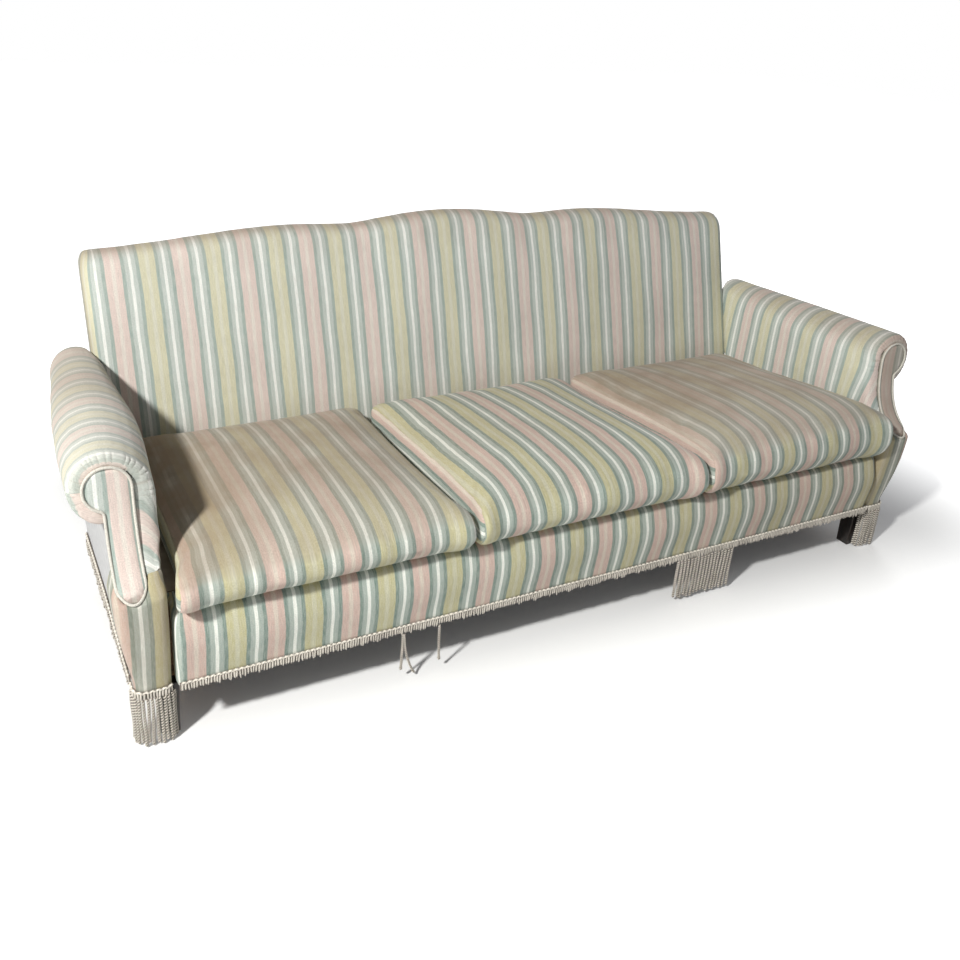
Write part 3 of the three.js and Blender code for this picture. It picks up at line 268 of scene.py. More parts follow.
def normals_of(piece):
    """The outward direction at each point."""
    flat = np.empty(len(piece.data.vertices) * 3)
    piece.data.vertices.foreach_get("normal", flat)
    return flat.reshape(-1, 3)


def set_points(piece, points):
    """Puts moved points back into the mesh."""
    piece.data.vertices.foreach_set("co", points.ravel())
    piece.data.update()


def eased(values, start, end):
    """0 before start, 1 after end, smooth between them."""
    share = np.clip((values - start) / (end - start), 0, 1)
    return share * share * (3 - 2 * share)


def store(piece, name, values, kind="FLOAT", domain="POINT"):
    """Stores values on the mesh, where its material reads them."""
    held = piece.data.attributes.get(name) or piece.data.attributes.new(name, kind, domain)
    field = "value" if kind == "FLOAT" else "vector"
    held.data.foreach_set(field, np.asarray(values, np.float32).ravel())


def lay_cloth(piece, across, along, soil_and_shade, domain="POINT"):
    """Stores where each point lies on the cloth: across the stripes, along them, and how much soil and
    painted shade darken it.
    """
    rows = np.stack(np.broadcast_arrays(across, along, soil_and_shade), axis=1)
    store(piece, "cloth", rows, "FLOAT_VECTOR", domain)


STRIPE_HALF = 0.082
WHITE_LINE = tone(248, 250, 243)
SAGE = tone(190, 200, 193)
TEAL = tone(150, 168, 160)
PINK = tone(223, 201, 191)
PINK_PALE = tone(229, 218, 206)
YELLOW = tone(211, 207, 172)
YELLOW_PALE = tone(218, 216, 193)
# The brown that both soil and painted shade darken the cloth towards.
SOIL_AND_SHADE_TONE = tone(145, 123, 99)
UNDYED = tone(220, 219, 208)
BLEACHED = tone(217, 211, 199)
FADED = 0.88
FRESH = 1.40
SOIL_AND_SHADE_DEPTH = 0.62
WANDER = 0.0012
RIB_THREAD = 0.0016
PICK_THREAD = 0.0013
STRIPE_PLAN = (
    (0.0, PINK_PALE), (3.0, PINK_PALE), (6.0, PINK), (18.4, PINK), (19.8, TEAL),
    (26.4, TEAL), (28.4, SAGE), (36.6, SAGE), (38.0, WHITE_LINE), (44.0, WHITE_LINE),
    (45.4, SAGE), (53.6, SAGE), (55.6, TEAL), (62.2, TEAL), (63.6, YELLOW),
    (76.0, YELLOW), (78.6, YELLOW_PALE), (82.0, YELLOW_PALE),
)


def new_finish(name, roughness, sheen=0.0):
    """A new material and its shader."""
    finish = bpy.data.materials.new(name)
    finish.use_nodes = True
    shader = finish.node_tree.nodes["Principled BSDF"]
    shader.inputs["Roughness"].default_value = roughness
    shader.inputs["Sheen Weight"].default_value = sheen
    return finish, shader


def held_value(finish, name):
    """What the mesh holds under this name, as sockets of this material."""
    held = finish.node_tree.nodes.new("ShaderNodeAttribute")
    held.attribute_name = name
    return held.outputs


def noise_on(vector, scale, detail):
    """A noise pattern over these coordinates."""
    pattern = vector.id_data.nodes.new("ShaderNodeTexNoise")
    pattern.inputs["Scale"].default_value = scale
    pattern.inputs["Detail"].default_value = detail
    vector.id_data.links.new(vector, pattern.inputs["Vector"])
    return pattern.outputs["Fac"]


def threads(value, pitch):
    """A wave with one crest for each thread."""
    return join_math("SINE", join_math("MULTIPLY", value, 2 * math.pi / pitch))


def emboss(shader, height, strength, distance):
    """Raises the surface a little where the value is high."""
    tree = height.id_data
    bump = tree.nodes.new("ShaderNodeBump")
    bump.inputs["Strength"].default_value = strength
    bump.inputs["Distance"].default_value = distance
    tree.links.new(height, bump.inputs["Height"])
    tree.links.new(bump.outputs["Normal"], shader.inputs["Normal"])


def striped_cloth(name, strength):
    """The striped upholstery cloth: a woven stripe plan, uneven yarns, soil, painted shade and a fine
    weave.
    """
    cloth, shader = new_finish(name, roughness=0.88, sheen=0.12)
    nodes, links = cloth.node_tree.nodes, cloth.node_tree.links
    shader.inputs["Specular IOR Level"].default_value = 0.25
    shader.inputs["Sheen Roughness"].default_value = 0.5
    across, along, soil_and_shade = split(held_value(cloth, "cloth")["Vector"])

    def noise(scale_across, scale_along, detail):
        stretched = nodes.new("ShaderNodeCombineXYZ")
        links.new(join_math("MULTIPLY", across, scale_across), stretched.inputs[0])
        links.new(join_math("MULTIPLY", along, scale_along), stretched.inputs[1])
        return noise_on(stretched.outputs[0], scale=1.0, detail=detail)

    def grade(value, low, high):
        ramp = nodes.new("ShaderNodeMapRange")
        ramp.inputs["From Min"].default_value = 0.25
        ramp.inputs["From Max"].default_value = 0.75
        ramp.inputs["To Min"].default_value = low
        ramp.inputs["To Max"].default_value = high
        links.new(value, ramp.inputs["Value"])
        return ramp.outputs[0]

    wander = join_math("ADD", across, grade(noise(18, 9, 1), -WANDER, WANDER))
    folded = join_math("PINGPONG", wander, STRIPE_HALF)
    plan = nodes.new("ShaderNodeValToRGB")
    links.new(join_math("DIVIDE", folded, STRIPE_HALF), plan.inputs["Fac"])
    stops = plan.color_ramp.elements
    stops[0].color = STRIPE_PLAN[0][1]
    stops[1].color = STRIPE_PLAN[-1][1]
    for millimetres, colour in STRIPE_PLAN[1:-1]:
        stops.new(millimetres / (1000 * STRIPE_HALF)).color = colour

    def blend(mode, factor, first, second):
        mix = nodes.new("ShaderNodeMix")
        mix.data_type = "RGBA"
        mix.blend_type = mode
        for socket, value in ((mix.inputs[0], factor), (mix.inputs[6], first), (mix.inputs[7], second)):
            if isinstance(value, (float, tuple)):
                socket.default_value = value
            else:
                links.new(value, socket)
        return mix.outputs[2]

    dyed = nodes.new("ShaderNodeGamma")
    dyed.inputs["Gamma"].default_value = strength
    links.new(plan.outputs["Color"], dyed.inputs["Color"])
    bleach = held_value(cloth, "bleach")["Fac"]
    washed = blend("MIX", bleach, dyed.outputs["Color"], BLEACHED)
    heathered = blend("MIX", grade(noise(460, 52, 2), -0.04, 0.34), washed, UNDYED)
    warp_tone = grade(noise(560, 40, 2), 0.88, 1.07)
    fleck_tone = grade(noise(360, 520, 2), 0.84, 1.13)
    broad_tone = grade(noise(5, 5, 2), 0.94, 1.04)
    yarns = join_math("MULTIPLY", join_math("MULTIPLY", warp_tone, fleck_tone), broad_tone)
    woven = blend("MULTIPLY", 1.0, heathered, yarns)
    patchy = join_math("MULTIPLY", soil_and_shade, grade(noise(11, 9, 3), 0.7, 1.15))
    depth = join_math("MULTIPLY", patchy, SOIL_AND_SHADE_DEPTH)
    links.new(blend("MIX", depth, woven, SOIL_AND_SHADE_TONE), shader.inputs["Base Color"])
    weave = join_math("MULTIPLY", threads(across, RIB_THREAD), threads(along, PICK_THREAD))
    emboss(shader, join_math("ADD", weave, noise(260, 260, 2)), strength=0.35, distance=0.0003)
    return cloth


CLOTH = striped_cloth("striped_cloth_faded", FADED)
FACE_Y = -0.436
SEAT_Z = 0.3057
SEAT_DEPTH = 0.656
LEAN = 0.307
BACK_HALF = 0.988
BACK_SWELL_RIGHT = 0.018
BACK_SWELL_LEFT = 0.005
BACK_TOP = 0.864
BACK_PINK = -0.921


def back_face(height):
    """Where the leaning front of the back stands at a height."""
    return FACE_Y + SEAT_DEPTH + LEAN * (height - SEAT_Z)


back = remeshed_copy("back_pad", "back_pad_cover", voxel=0.0095, passes=9)
p = points_of(back)
x, y, z = p.T
half = BACK_HALF + np.where(x > 0, BACK_SWELL_RIGHT, BACK_SWELL_LEFT)
p[:, 0] += BACK_SWELL_RIGHT * eased(x, 0.80, BACK_HALF) - BACK_SWELL_LEFT * eased(-x, 0.80, BACK_HALF)
depth = y - back_face(z)
front = 1 - eased(depth, 0.0, 0.03)
middle = 1 - eased(np.abs(x), 0.88, 0.97)
swell = 0.0022 * np.sin(x * 23 + 1.3 * np.sin(z * 9)) * np.sin(z * 13 + 0.7) * front * middle
ruffle = 0.0016 * np.sin(x * 61 + 2 * np.sin(z * 17)) * front * middle * eased(z, 0.7, 0.82)
p[:, 1] -= swell + ruffle
set_points(back, p)
turn_in = eased(half - np.abs(x), 0.034, 0.008)
across = x - BACK_PINK + np.sign(x) * turn_in * np.maximum(depth, 0)
# The cloth low on the back, where it runs down behind the cushions, is painted darker, as shade.
crease = 0.25 * eased(-z, -0.46, -0.38) * front
rubbed = 0.75 * eased(depth, 0.0, 0.035) + 0.25 * eased(z, 0.74, 0.86)
over_top = np.maximum(depth, 0) * eased(z, BACK_TOP - 0.12, BACK_TOP)
lay_cloth(back, across, z + over_top, 0.06 + crease + rubbed)
stands_for(back, "back_pad", CLOTH)

# ---- Outside of the back
# A single layer of the same cloth, drawn tight over the open rear of the back frame and
# tacked along its edges.
outside_back = remeshed_copy("back_outside_panel", "back_outside_cover", voxel=0.008, passes=4)
x, y, z = points_of(outside_back).T
lay_cloth(outside_back, x - BACK_PINK, z, 0.15)
stands_for(outside_back, "back_outside_panel", CLOTH)

# ---- Seat front
# The boxed rail below the cushions: stuffing and cloth over the rail board, with a lip that
# turns in under the cushions. Its stripes run up and down, a little out of step with the back.
CLOTH_FRESH = striped_cloth("striped_cloth_fresh", FRESH)
RAIL_HALF = 0.978
RAIL_PINK = -0.941
RAIL_TRIM = FACE_Y + 0.010
rail = remeshed_copy("front_rail_cover", "seat_front_cover", voxel=0.0065, passes=6)
p = points_of(rail)
x, y, z = p.T
front = 1 - eased(y - RAIL_TRIM, 0.0, 0.03)
shown = front * (1 - eased(np.abs(x), 0.93, 0.97))
p[:, 1] -= 0.0018 * np.sin(x * 19 + 2 * np.sin(z * 21)) * np.sin((z - 0.13) * 17) * shown
set_points(rail, p)
turn_in = eased(np.abs(x), RAIL_HALF - 0.022, RAIL_HALF - 0.006)
behind = np.maximum(y - RAIL_TRIM, 0)
across = x - RAIL_PINK + np.sign(x) * turn_in * behind
# The cloth is painted darker towards the right end, as the shade where the lamp's light falls off.
lay_cloth(rail, across, z + behind * eased(z, 0.29, 0.304), 0.02 + 0.42 * eased(x, -0.5, 1.0))
stands_for(rail, "front_rail_cover", CLOTH_FRESH)

# ---- Arms
# Padded inner walls that run up into a slender roll. At the front the cloth is gathered in
# small pleats round the scroll and pulled forward to the facing. Stripes run round the roll.
SCROLL_X = 1.065
SCROLL_Z = 0.553
ROLL_X = 1.068
ROLL_R = 0.070
ARM_IN = 0.985
ARM_STRIPES = {"left": (-0.352, 0.078), "right": (0.0, 0.0845)}
PLEATS = 30
PLEAT_HIGH = 0.0016
PLEAT_DEEP = 0.0018
INNER_SWELL = {"left": 1.0, "right": 0.3}
PAST_BACK = 0.028
SIDES = (("left", -1), ("right", 1))


def arm_front(height):
    """Where the sweeping front of the arm stands at a height."""
    return FACE_Y + 0.002 + 0.106 * (1 - np.exp((0.356 - height) / 0.062))


for word, side in SIDES:
    arm = remeshed_copy(f"arm_pad_{word}", f"arm_cover_{word}", voxel=0.0055, passes=6)
    bpy.ops.object.mode_set(mode="EDIT")
    bpy.ops.mesh.select_all(action="DESELECT")
    bpy.ops.object.mode_set(mode="OBJECT")
    for face in arm.data.polygons:
        cx, cy, cz = face.center
        by_scroll = math.hypot(cz - SCROLL_Z, side * cx - SCROLL_X) < 0.085
        face.select = bool(by_scroll and cz > SCROLL_Z - 0.075 and cy < arm_front(cz) + 0.034)
    bpy.ops.object.mode_set(mode="EDIT")
    bpy.ops.mesh.select_mode(type="FACE")
    bpy.ops.mesh.subdivide(number_cuts=3, smoothness=1.0)
    bpy.ops.object.mode_set(mode="OBJECT")
    bpy.ops.object.shade_smooth()
    p = points_of(arm)
    x, y, z = p.T.copy()
    ahead = y - arm_front(np.maximum(z, 0.39))
    angle = np.arctan2(z - SCROLL_Z, side * x - SCROLL_X)
    high = eased(z, SCROLL_Z - 0.075, SCROLL_Z - 0.02)
    wave = np.sin(angle * PLEATS / 2 + 1.1 * np.sin(angle * 5) + 0.7 * np.sin(angle * 11))
    crease = np.maximum(0, 1 - np.abs(wave) / 0.20) * (1 - eased(ahead, 0.004, 0.024)) * high
    fold = np.abs(wave) * (1 - eased(ahead, 0.006, 0.034)) * high
    outward = PLEAT_HIGH * fold - PLEAT_DEEP * crease
    p[:, 0] += side * outward * np.cos(angle)
    p[:, 2] += outward * np.sin(angle)
    tucked_low = (1 - eased(ahead, 0.02, 0.05)) * eased(-z, -0.45, -0.39)
    p[:, 1] -= 0.0075 * tucked_low
    p[:, 2] -= 0.006 * tucked_low * (side * x > ARM_IN + 0.01)
    full = (0.003 + 0.009 * eased(z, 0.405, 0.445) + 0.008 * eased(z, 0.45, 0.54)) * eased(z, 0.35, 0.39)
    full *= 1 - eased(z, 0.55, SCROLL_Z + ROLL_R)
    inward = np.maximum(-side * normals_of(arm)[:, 0], 0) ** 0.5
    p[:, 0] -= side * full * inward * eased(-y, -0.24, 0.12) * INNER_SWELL[word]
    at_rear = eased(y - back_face(z), -0.07, -0.005) * eased(side * x, BACK_HALF, BACK_HALF + 0.02)
    p[:, 1] += PAST_BACK * at_rear * eased(z, 0.34, 0.40)
    set_points(arm, p)
    origin, pitch = ARM_STRIPES[word]
    low_in = side * x - ARM_IN - 0.013 * np.clip((z - 0.30) / 0.253, 0, 1) ** 3
    in_roll = ROLL_R - np.hypot(z - SCROLL_Z, side * x - ROLL_X)
    tucked = np.where(z > SCROLL_Z, in_roll, np.minimum(low_in, 0.035))
    tucked = np.maximum(tucked, 0) * (1 - eased(ahead, 0.016, 0.030))
    lean = 0.22 * (z - 0.45) * eased(-y, 0.20, 0.34) * eased(-z, -0.60, -0.50)
    across = (y - 0.6 * tucked + lean - origin) * STRIPE_HALF / pitch
    behind = eased(y, -0.34, 0.16)
    # In both arms the narrow creases of the pleats are painted darker, as shade; the darker tops of the
    # rolls are soil.
    if side < 0:
        wear_and_shade = 0.62 * behind * eased(z, 0.52, 0.60) + 0.06 + 0.6 * crease
        store(arm, "bleach", 0.15 + 0.23 * eased(z, 0.50, 0.60))
    else:
        wear_and_shade = 0.72 * eased(z, 0.545, 0.61) + 0.02 + 0.6 * crease
    lay_cloth(arm, across, z - side * (x - side * SCROLL_X) * 0.6, wear_and_shade)
    stands_for(arm, f"arm_pad_{word}", CLOTH)

# ---- Arm facings
# A keyhole board under thin stuffing and cloth, set into the front of each arm. The cloth is
# cut so that one wide pink band runs down the neck.
FACING_PINK = 1.046
for word, side in SIDES:
    facing = remeshed_copy(f"arm_facing_{word}", f"facing_cover_{word}", voxel=0.0026, passes=5)
    p = points_of(facing)
    n = normals_of(facing)
    edge = np.hypot(n[:, 0], n[:, 2])
    p[:, 0] += 0.0046 * edge * n[:, 0]
    p[:, 2] += 0.0046 * edge * n[:, 2]
    p[:, 1] -= 0.0016 * eased(edge, 0.2, 0.8)
    p += 0.0060 * n * (eased(-p[:, 2], -0.392, -0.364) * edge)[:, None]
    set_points(facing, p)
    x, y, z = p.T
    # The right facing is painted much darker than the left, as shade.
    lay_cloth(facing, side * x - FACING_PINK, z, 0.46 + 0.38 * side)
    stands_for(facing, f"arm_facing_{word}", CLOTH)

# ---- Facing piping
# A cord covered in plain cream cloth, sewn round each facing where it meets the gathered
# cloth of the arm.
def shade_by(shader, value, first, second):
    """Colours the surface by a value; each of the two ends is a mark on it and a colour."""
    tree = value.id_data
    shade = tree.nodes.new("ShaderNodeValToRGB")
    for stop, (mark, colour) in zip(shade.color_ramp.elements, (first, second)):
        stop.position = mark
        stop.color = colour
    tree.links.new(value, shade.inputs["Fac"])
    tree.links.new(shade.outputs["Color"], shader.inputs["Base Color"])


WELT, shader = new_finish("welt_cloth", roughness=0.85, sheen=0.15)
grain = noise_on(object_place(WELT), scale=420, detail=3)
shade_by(shader, grain, (0.3, tone(188, 184, 172)), (0.7, tone(222, 218, 207)))
emboss(shader, grain, strength=0.3, distance=0.0004)
PIPE_R = 0.0030
NECK_IN = 1.020
NECK_OUT = 1.075
SCROLL_R = 0.045
FILLET_R = 0.012
FOOT_R = (NECK_OUT - NECK_IN) / 2
FOOT_Z = 0.356 + FOOT_R
HUB_X = NECK_OUT + FILLET_R
HUB_Z = SCROLL_Z - math.sqrt((SCROLL_R + FILLET_R) ** 2 - (HUB_X - SCROLL_X) ** 2)
turn_end = math.atan2(SCROLL_Z - HUB_Z, SCROLL_X - HUB_X)
keyhole = []
for centre_x, centre_z, radius, start, end, count in (
    (NECK_IN + FOOT_R, FOOT_Z, FOOT_R, -math.pi, 0, 24),
    (HUB_X, HUB_Z, FILLET_R, math.pi, turn_end, 8),
    (SCROLL_X, SCROLL_Z, SCROLL_R, turn_end - math.pi, math.pi, 60),
):
    for share in np.linspace(0, 1, count):
        a = start + (end - start) * share
        keyhole.append((centre_x + radius * math.cos(a), centre_z + radius * math.sin(a)))
for share in np.linspace(0, 1, 24)[1:-1]:
    keyhole.append((NECK_IN, SCROLL_Z + (FOOT_Z - SCROLL_Z) * share))
for share in np.linspace(0, 1, 12)[1:-1]:
    keyhole.insert(24 + round(share * 11) - 1, (NECK_OUT, FOOT_Z + (HUB_Z - FOOT_Z) * share))
for word, side in SIDES:
    bpy.ops.curve.primitive_bezier_circle_add()
    welt = bpy.context.object
    welt.data.splines.clear()
    loop = welt.data.splines.new("POLY")
    loop.points.add(len(keyhole) - 1)
    for point, (wx, wz) in zip(loop.points, keyhole):
        point.co = (side * wx, arm_front(wz) + PIPE_R / 2, wz, 1)
    loop.use_cyclic_u = True
    welt.data.dimensions = "3D"
    welt.data.bevel_depth = PIPE_R
    welt.data.bevel_resolution = 3
    bpy.ops.object.convert(target="MESH")
    piping = bpy.context.object
    piping.name = f"facing_welt_{word}"
    bpy.ops.object.shade_smooth()
    stands_for(piping, f"facing_piping_{word}", WELT)

# ---- Arm posts
# The square front posts under the facings: cloth over thin padding, with rounded corners and
# a shoulder that swells out below the facing.
POST_PINK = 1.081
for word, side in SIDES:
    post = remeshed_copy(f"arm_post_cover_{word}", f"post_cover_{word}", voxel=0.0045, passes=7)
    x, y, z = points_of(post).T
    behind = np.maximum(y - (FACE_Y + 0.024), 0)
    outer = eased(side * x, 1.045, 1.066)
    inner = eased(-side * x, -1.000, -0.988)
    across = side * x - POST_PINK + behind * (outer - inner)
    # The post cloth is darkened all over, and its inner side is painted darker still, as shade where it
    # turns away from the lamp.
    lay_cloth(post, across, z, 0.60 + 0.3 * eased(-side * x, -1.02, -0.99))
    stands_for(post, f"arm_post_cover_{word}", CLOTH_FRESH)

# ---- Outside of the arms
# Flat panels below the rolls in a plain pale grey lining, drawn over the arm frame, tacked
# down and tapering to the floor.
LINING_THREAD = 0.0014
LINING, shader = new_finish("grey_lining", roughness=0.92, sheen=0.1)
place = object_place(LINING)
_, warp, weft = split(place)
weave = join_math("MULTIPLY", threads(warp, LINING_THREAD), threads(weft, LINING_THREAD))
slubs = noise_on(place, scale=60, detail=5)
shade_by(shader, slubs, (0.25, tone(177, 177, 177)), (0.75, tone(202, 202, 201)))
emboss(shader, join_math("ADD", weave, slubs), strength=0.3, distance=0.0003)
panel_lines = {}
for word, side in SIDES:
    panel = remeshed_copy(f"arm_outside_panel_{word}", f"arm_outside_cover_{word}", voxel=0.005, passes=4)
    p = points_of(panel)
    outer = (side * normals_of(panel)[:, 0] > 0.9) & (p[:, 2] < 0.25)
    panel_lines[word] = np.polyfit(p[outer, 2], side * p[outer, 0], 1)
    stands_for(panel, f"arm_outside_panel_{word}", LINING)

# ---- Fringe: cord, heading and cut stubs
# A cotton bullion fringe. Its heading is a row of close ribs under a looped cord, sewn along
# the lower edge of the cloth; below it most cords were cut off and only stubs are left.
# The value "groove" says how deep a point lies between the yarns, 0 on their crests; the cotton is painted
# darker there, as shade.
COTTON, shader = new_finish("fringe_cotton", roughness=0.9, sheen=0.2)
place = object_place(COTTON)
fibre = noise_on(place, scale=900, detail=2)
worn_yarn = join_math("MULTIPLY", noise_on(place, scale=26, detail=3), 0.45)
dirt_and_groove_shade = join_math("ADD", worn_yarn, join_math("MULTIPLY", fibre, 0.25))
dirt_and_groove_shade = join_math("ADD", join_math("SUBTRACT", dirt_and_groove_shade, 0.22), held_value(COTTON, "groove")["Fac"])
shade_by(shader, dirt_and_groove_shade, (0.0, tone(241, 234, 221)), (1.0, tone(74, 62, 50)))
emboss(shader, fibre, strength=0.4, distance=0.0003)

rng = random.Random(7)
PLY_SIDES = 8


def twisted_cord(name, length, radius, lay, step):
    """A two-ply twisted cord that runs from the origin up the Z axis, closed at both ends."""
    bpy.ops.object.select_all(action="DESELECT")
    bpy.ops.mesh.primitive_circle_add(vertices=PLY_SIDES, radius=radius)
    cord = bpy.context.object
    cord.name = name
    section = points_of(cord)
    around = np.arctan2(section[:, 1], section[:, 0])
    section[:, :2] *= (0.45 + 0.55 * np.abs(np.cos(around)))[:, None]
    set_points(cord, section)
    turn = cord.modifiers.new("twist", "SCREW")
    turn.axis = "Z"
    turn.angle = 2 * math.pi * length / lay
    turn.screw_offset = length
    turn.steps = turn.render_steps = max(4, round(length / step))
    turn.use_merge_vertices = False
    bpy.ops.object.modifier_apply(modifier="twist")
    bpy.ops.object.mode_set(mode="EDIT")
    bpy.ops.mesh.select_all(action="DESELECT")
    bpy.ops.mesh.select_mode(type="VERT")
    bpy.ops.mesh.select_non_manifold()
    bpy.ops.mesh.fill_holes(sides=0)
    bpy.ops.mesh.select_all(action="SELECT")
    bpy.ops.mesh.normals_make_consistent(inside=False)
    bpy.ops.object.mode_set(mode="OBJECT")
    p = points_of(cord)
    reach = np.hypot(p[:, 0], p[:, 1]) / radius
    # The cord is painted darker in the grooves between its plies, as shade.
    store(cord, "groove", 2.5 * (1 - reach))
    from_end = np.minimum(p[:, 2], length - p[:, 2])
    p[:, :2] *= (0.55 + 0.45 * eased(from_end, 0, radius))[:, None]
    set_points(cord, p)
    bpy.ops.object.shade_smooth()
    return cord


def own_copy(source, name):
    """A copy of a piece with its own mesh."""
    copy = source.copy()
    copy.data = source.data.copy()
    copy.name = name
    bpy.context.collection.objects.link(copy)
    return copy


def joined(parts, name):
    """Makes one piece of several."""
    bpy.ops.object.select_all(action="DESELECT")
    for part in parts:
        part.select_set(True)
    bpy.context.view_layer.objects.active = parts[0]
    bpy.ops.object.join()
    piece = bpy.context.object
    piece.name = piece.data.name = name
    return piece


def along_path(run, path):
    """The places and the outward directions at these distances along a level path."""
    steps = np.linalg.norm(np.diff(path, axis=0), axis=1)
    marks = np.concatenate(([0], np.cumsum(steps)))
    places = np.stack([np.interp(run, marks, path[:, axis]) for axis in (0, 1)], axis=1)
    ahead = np.stack([
        np.interp(np.minimum(run + 0.003, marks[-1]), marks, path[:, axis])
        - np.interp(np.maximum(run - 0.003, 0), marks, path[:, axis]) for axis in (0, 1)
    ], axis=1)
    ahead /= np.linalg.norm(ahead, axis=1)[:, None]
    return places, np.stack([ahead[:, 1], -ahead[:, 0]], axis=1), marks[-1]


def bend_to(piece, path, outward):
    """Bends a straight piece, X along, Y outward and Z up, to follow a level path."""
    p = points_of(piece)
    places, out_ways, _ = along_path(p[:, 0], path)
    p[:, :2] = places + out_ways * outward * p[:, 1:2]
    set_points(piece, p)


RIB_PITCH = 0.0058
RIB_WIDE = 0.0024
RIB_DEEP = 0.0026
RIB_OUT = 0.0030
TAPE_THICK = 0.0012
LOOP_PITCH = 0.0118
LOOP_R = 0.0025
LOOP_LAY = 0.0125


def fringe_heading(name, path, outward, top, foot, stub):
    """One heading: ribs that end in uneven stubs, a flat tape behind and a looped cord on top."""
    length = along_path(np.zeros(1), path)[2]
    bpy.ops.object.select_all(action="DESELECT")
    bpy.ops.mesh.primitive_uv_sphere_add(segments=6, ring_count=5, radius=1)
    ribs = bpy.context.object
    count = int((length - 2 * RIB_WIDE) / RIB_PITCH)
    shape = points_of(ribs)
    shape[:, 2] = np.sign(shape[:, 2]) * np.abs(shape[:, 2]) ** 0.6
    set_points(ribs, shape)
    row = ribs.modifiers.new("row", "ARRAY")
    row.use_relative_offset = False
    row.use_constant_offset = True
    row.constant_offset_displace = (10, 0, 0)
    row.count = count
    bpy.ops.object.modifier_apply(modifier="row")
    p = points_of(ribs).reshape(count, -1, 3)
    p[:, :, 0] -= 10 * np.arange(count)[:, None]
    local = p.copy()
    drop = np.array([stub * rng.random() ** 1.6 for _ in range(count)])[:, None]
    sway = np.array([rng.uniform(-0.0015, 0.0015) for _ in range(count)])[:, None]
    bulge = np.array([rng.uniform(0.8, 1.15) for _ in range(count)])[:, None]
    low = foot - drop
    half = (top - low) / 2
    p[:, :, 2] = low + half + local[:, :, 2] * half
    hang = (top - p[:, :, 2]) / (top - foot)
    start = RIB_WIDE + (length - 2 * RIB_WIDE) * (np.arange(count)[:, None] + 0.5) / count
    p[:, :, 0] = start + local[:, :, 0] * RIB_WIDE * bulge + sway * hang ** 2
    p[:, :, 1] = RIB_OUT + local[:, :, 1] * RIB_DEEP * bulge
    set_points(ribs, p.reshape(-1, 3))
    # Each rib is painted darker towards the tape behind it and lower down, as shade.
    store(ribs, "groove", (0.62 * (1 - np.clip(local[:, :, 1], 0, 1)) + 0.08 * hang).ravel())
    bpy.ops.object.shade_smooth()
    bpy.ops.mesh.primitive_grid_add(x_subdivisions=max(8, int(length / 0.01)), y_subdivisions=2, size=1)
    tape = bpy.context.object
    p = points_of(tape)
    p[:, 2] = foot + 0.001 + (p[:, 1] + 0.5) * (top - foot - 0.003)
    p[:, 1] = TAPE_THICK
    p[:, 0] = (p[:, 0] + 0.5) * length
    set_points(tape, p)
    thick = tape.modifiers.new("thick", "SOLIDIFY")
    thick.thickness = TAPE_THICK
    thick.offset = 0
    bpy.ops.object.modifier_apply(modifier="thick")
    bpy.ops.object.mode_set(mode="EDIT")
    bpy.ops.mesh.select_all(action="SELECT")
    bpy.ops.mesh.normals_make_consistent(inside=False)
    bpy.ops.object.mode_set(mode="OBJECT")
    # The tape is painted dark, as the shade between the ribs.
    store(tape, "groove", np.full(len(tape.data.vertices), 0.70))
    cord = twisted_cord("loops", length - 0.004, LOOP_R, LOOP_LAY, step=0.0014)
    p = points_of(cord)
    waves = 0.0030 * (np.abs(np.sin(math.pi * p[:, 2] / LOOP_PITCH)) - 0.5)
    laid = np.stack([p[:, 2] + 0.002, p[:, 0] + 0.0040, p[:, 1] + top - 0.0036 + waves], axis=1)
    set_points(cord, laid)
    # The looped cord is painted darker between its loops, as shade, and lighter on the top of each loop.
    store(cord, "groove", 0.55 * (1 - np.abs(np.sin(math.pi * p[:, 2] / LOOP_PITCH))) ** 1.5 - 0.12)
    heading = joined([ribs, tape, cord], name)
    bend_to(heading, path, outward)
    return heading


HEAD_TOP = 0.149
HEAD_FOOT = 0.1275
FRONT_HALF = 0.976
SEWN_GAP = 0.0003
front_path = np.array([(-FRONT_HALF, RAIL_TRIM - SEWN_GAP), (FRONT_HALF, RAIL_TRIM - SEWN_GAP)])
front_heading = fringe_heading("front_fringe_heading", front_path, 1, HEAD_TOP, HEAD_FOOT, stub=0.007)
stands_for(front_heading, "front_heading", COTTON)

# ---- Fringe: full cords
# Twisted cotton cords, each a doubled yarn that hangs from the heading. They are left on the
# two arm posts and on one short stretch right of the middle.
STRAND_R = 0.0042
STRAND_LAY = 0.0140
STRAND_PITCH = 0.0078
STRAND_STEP = 0.0020


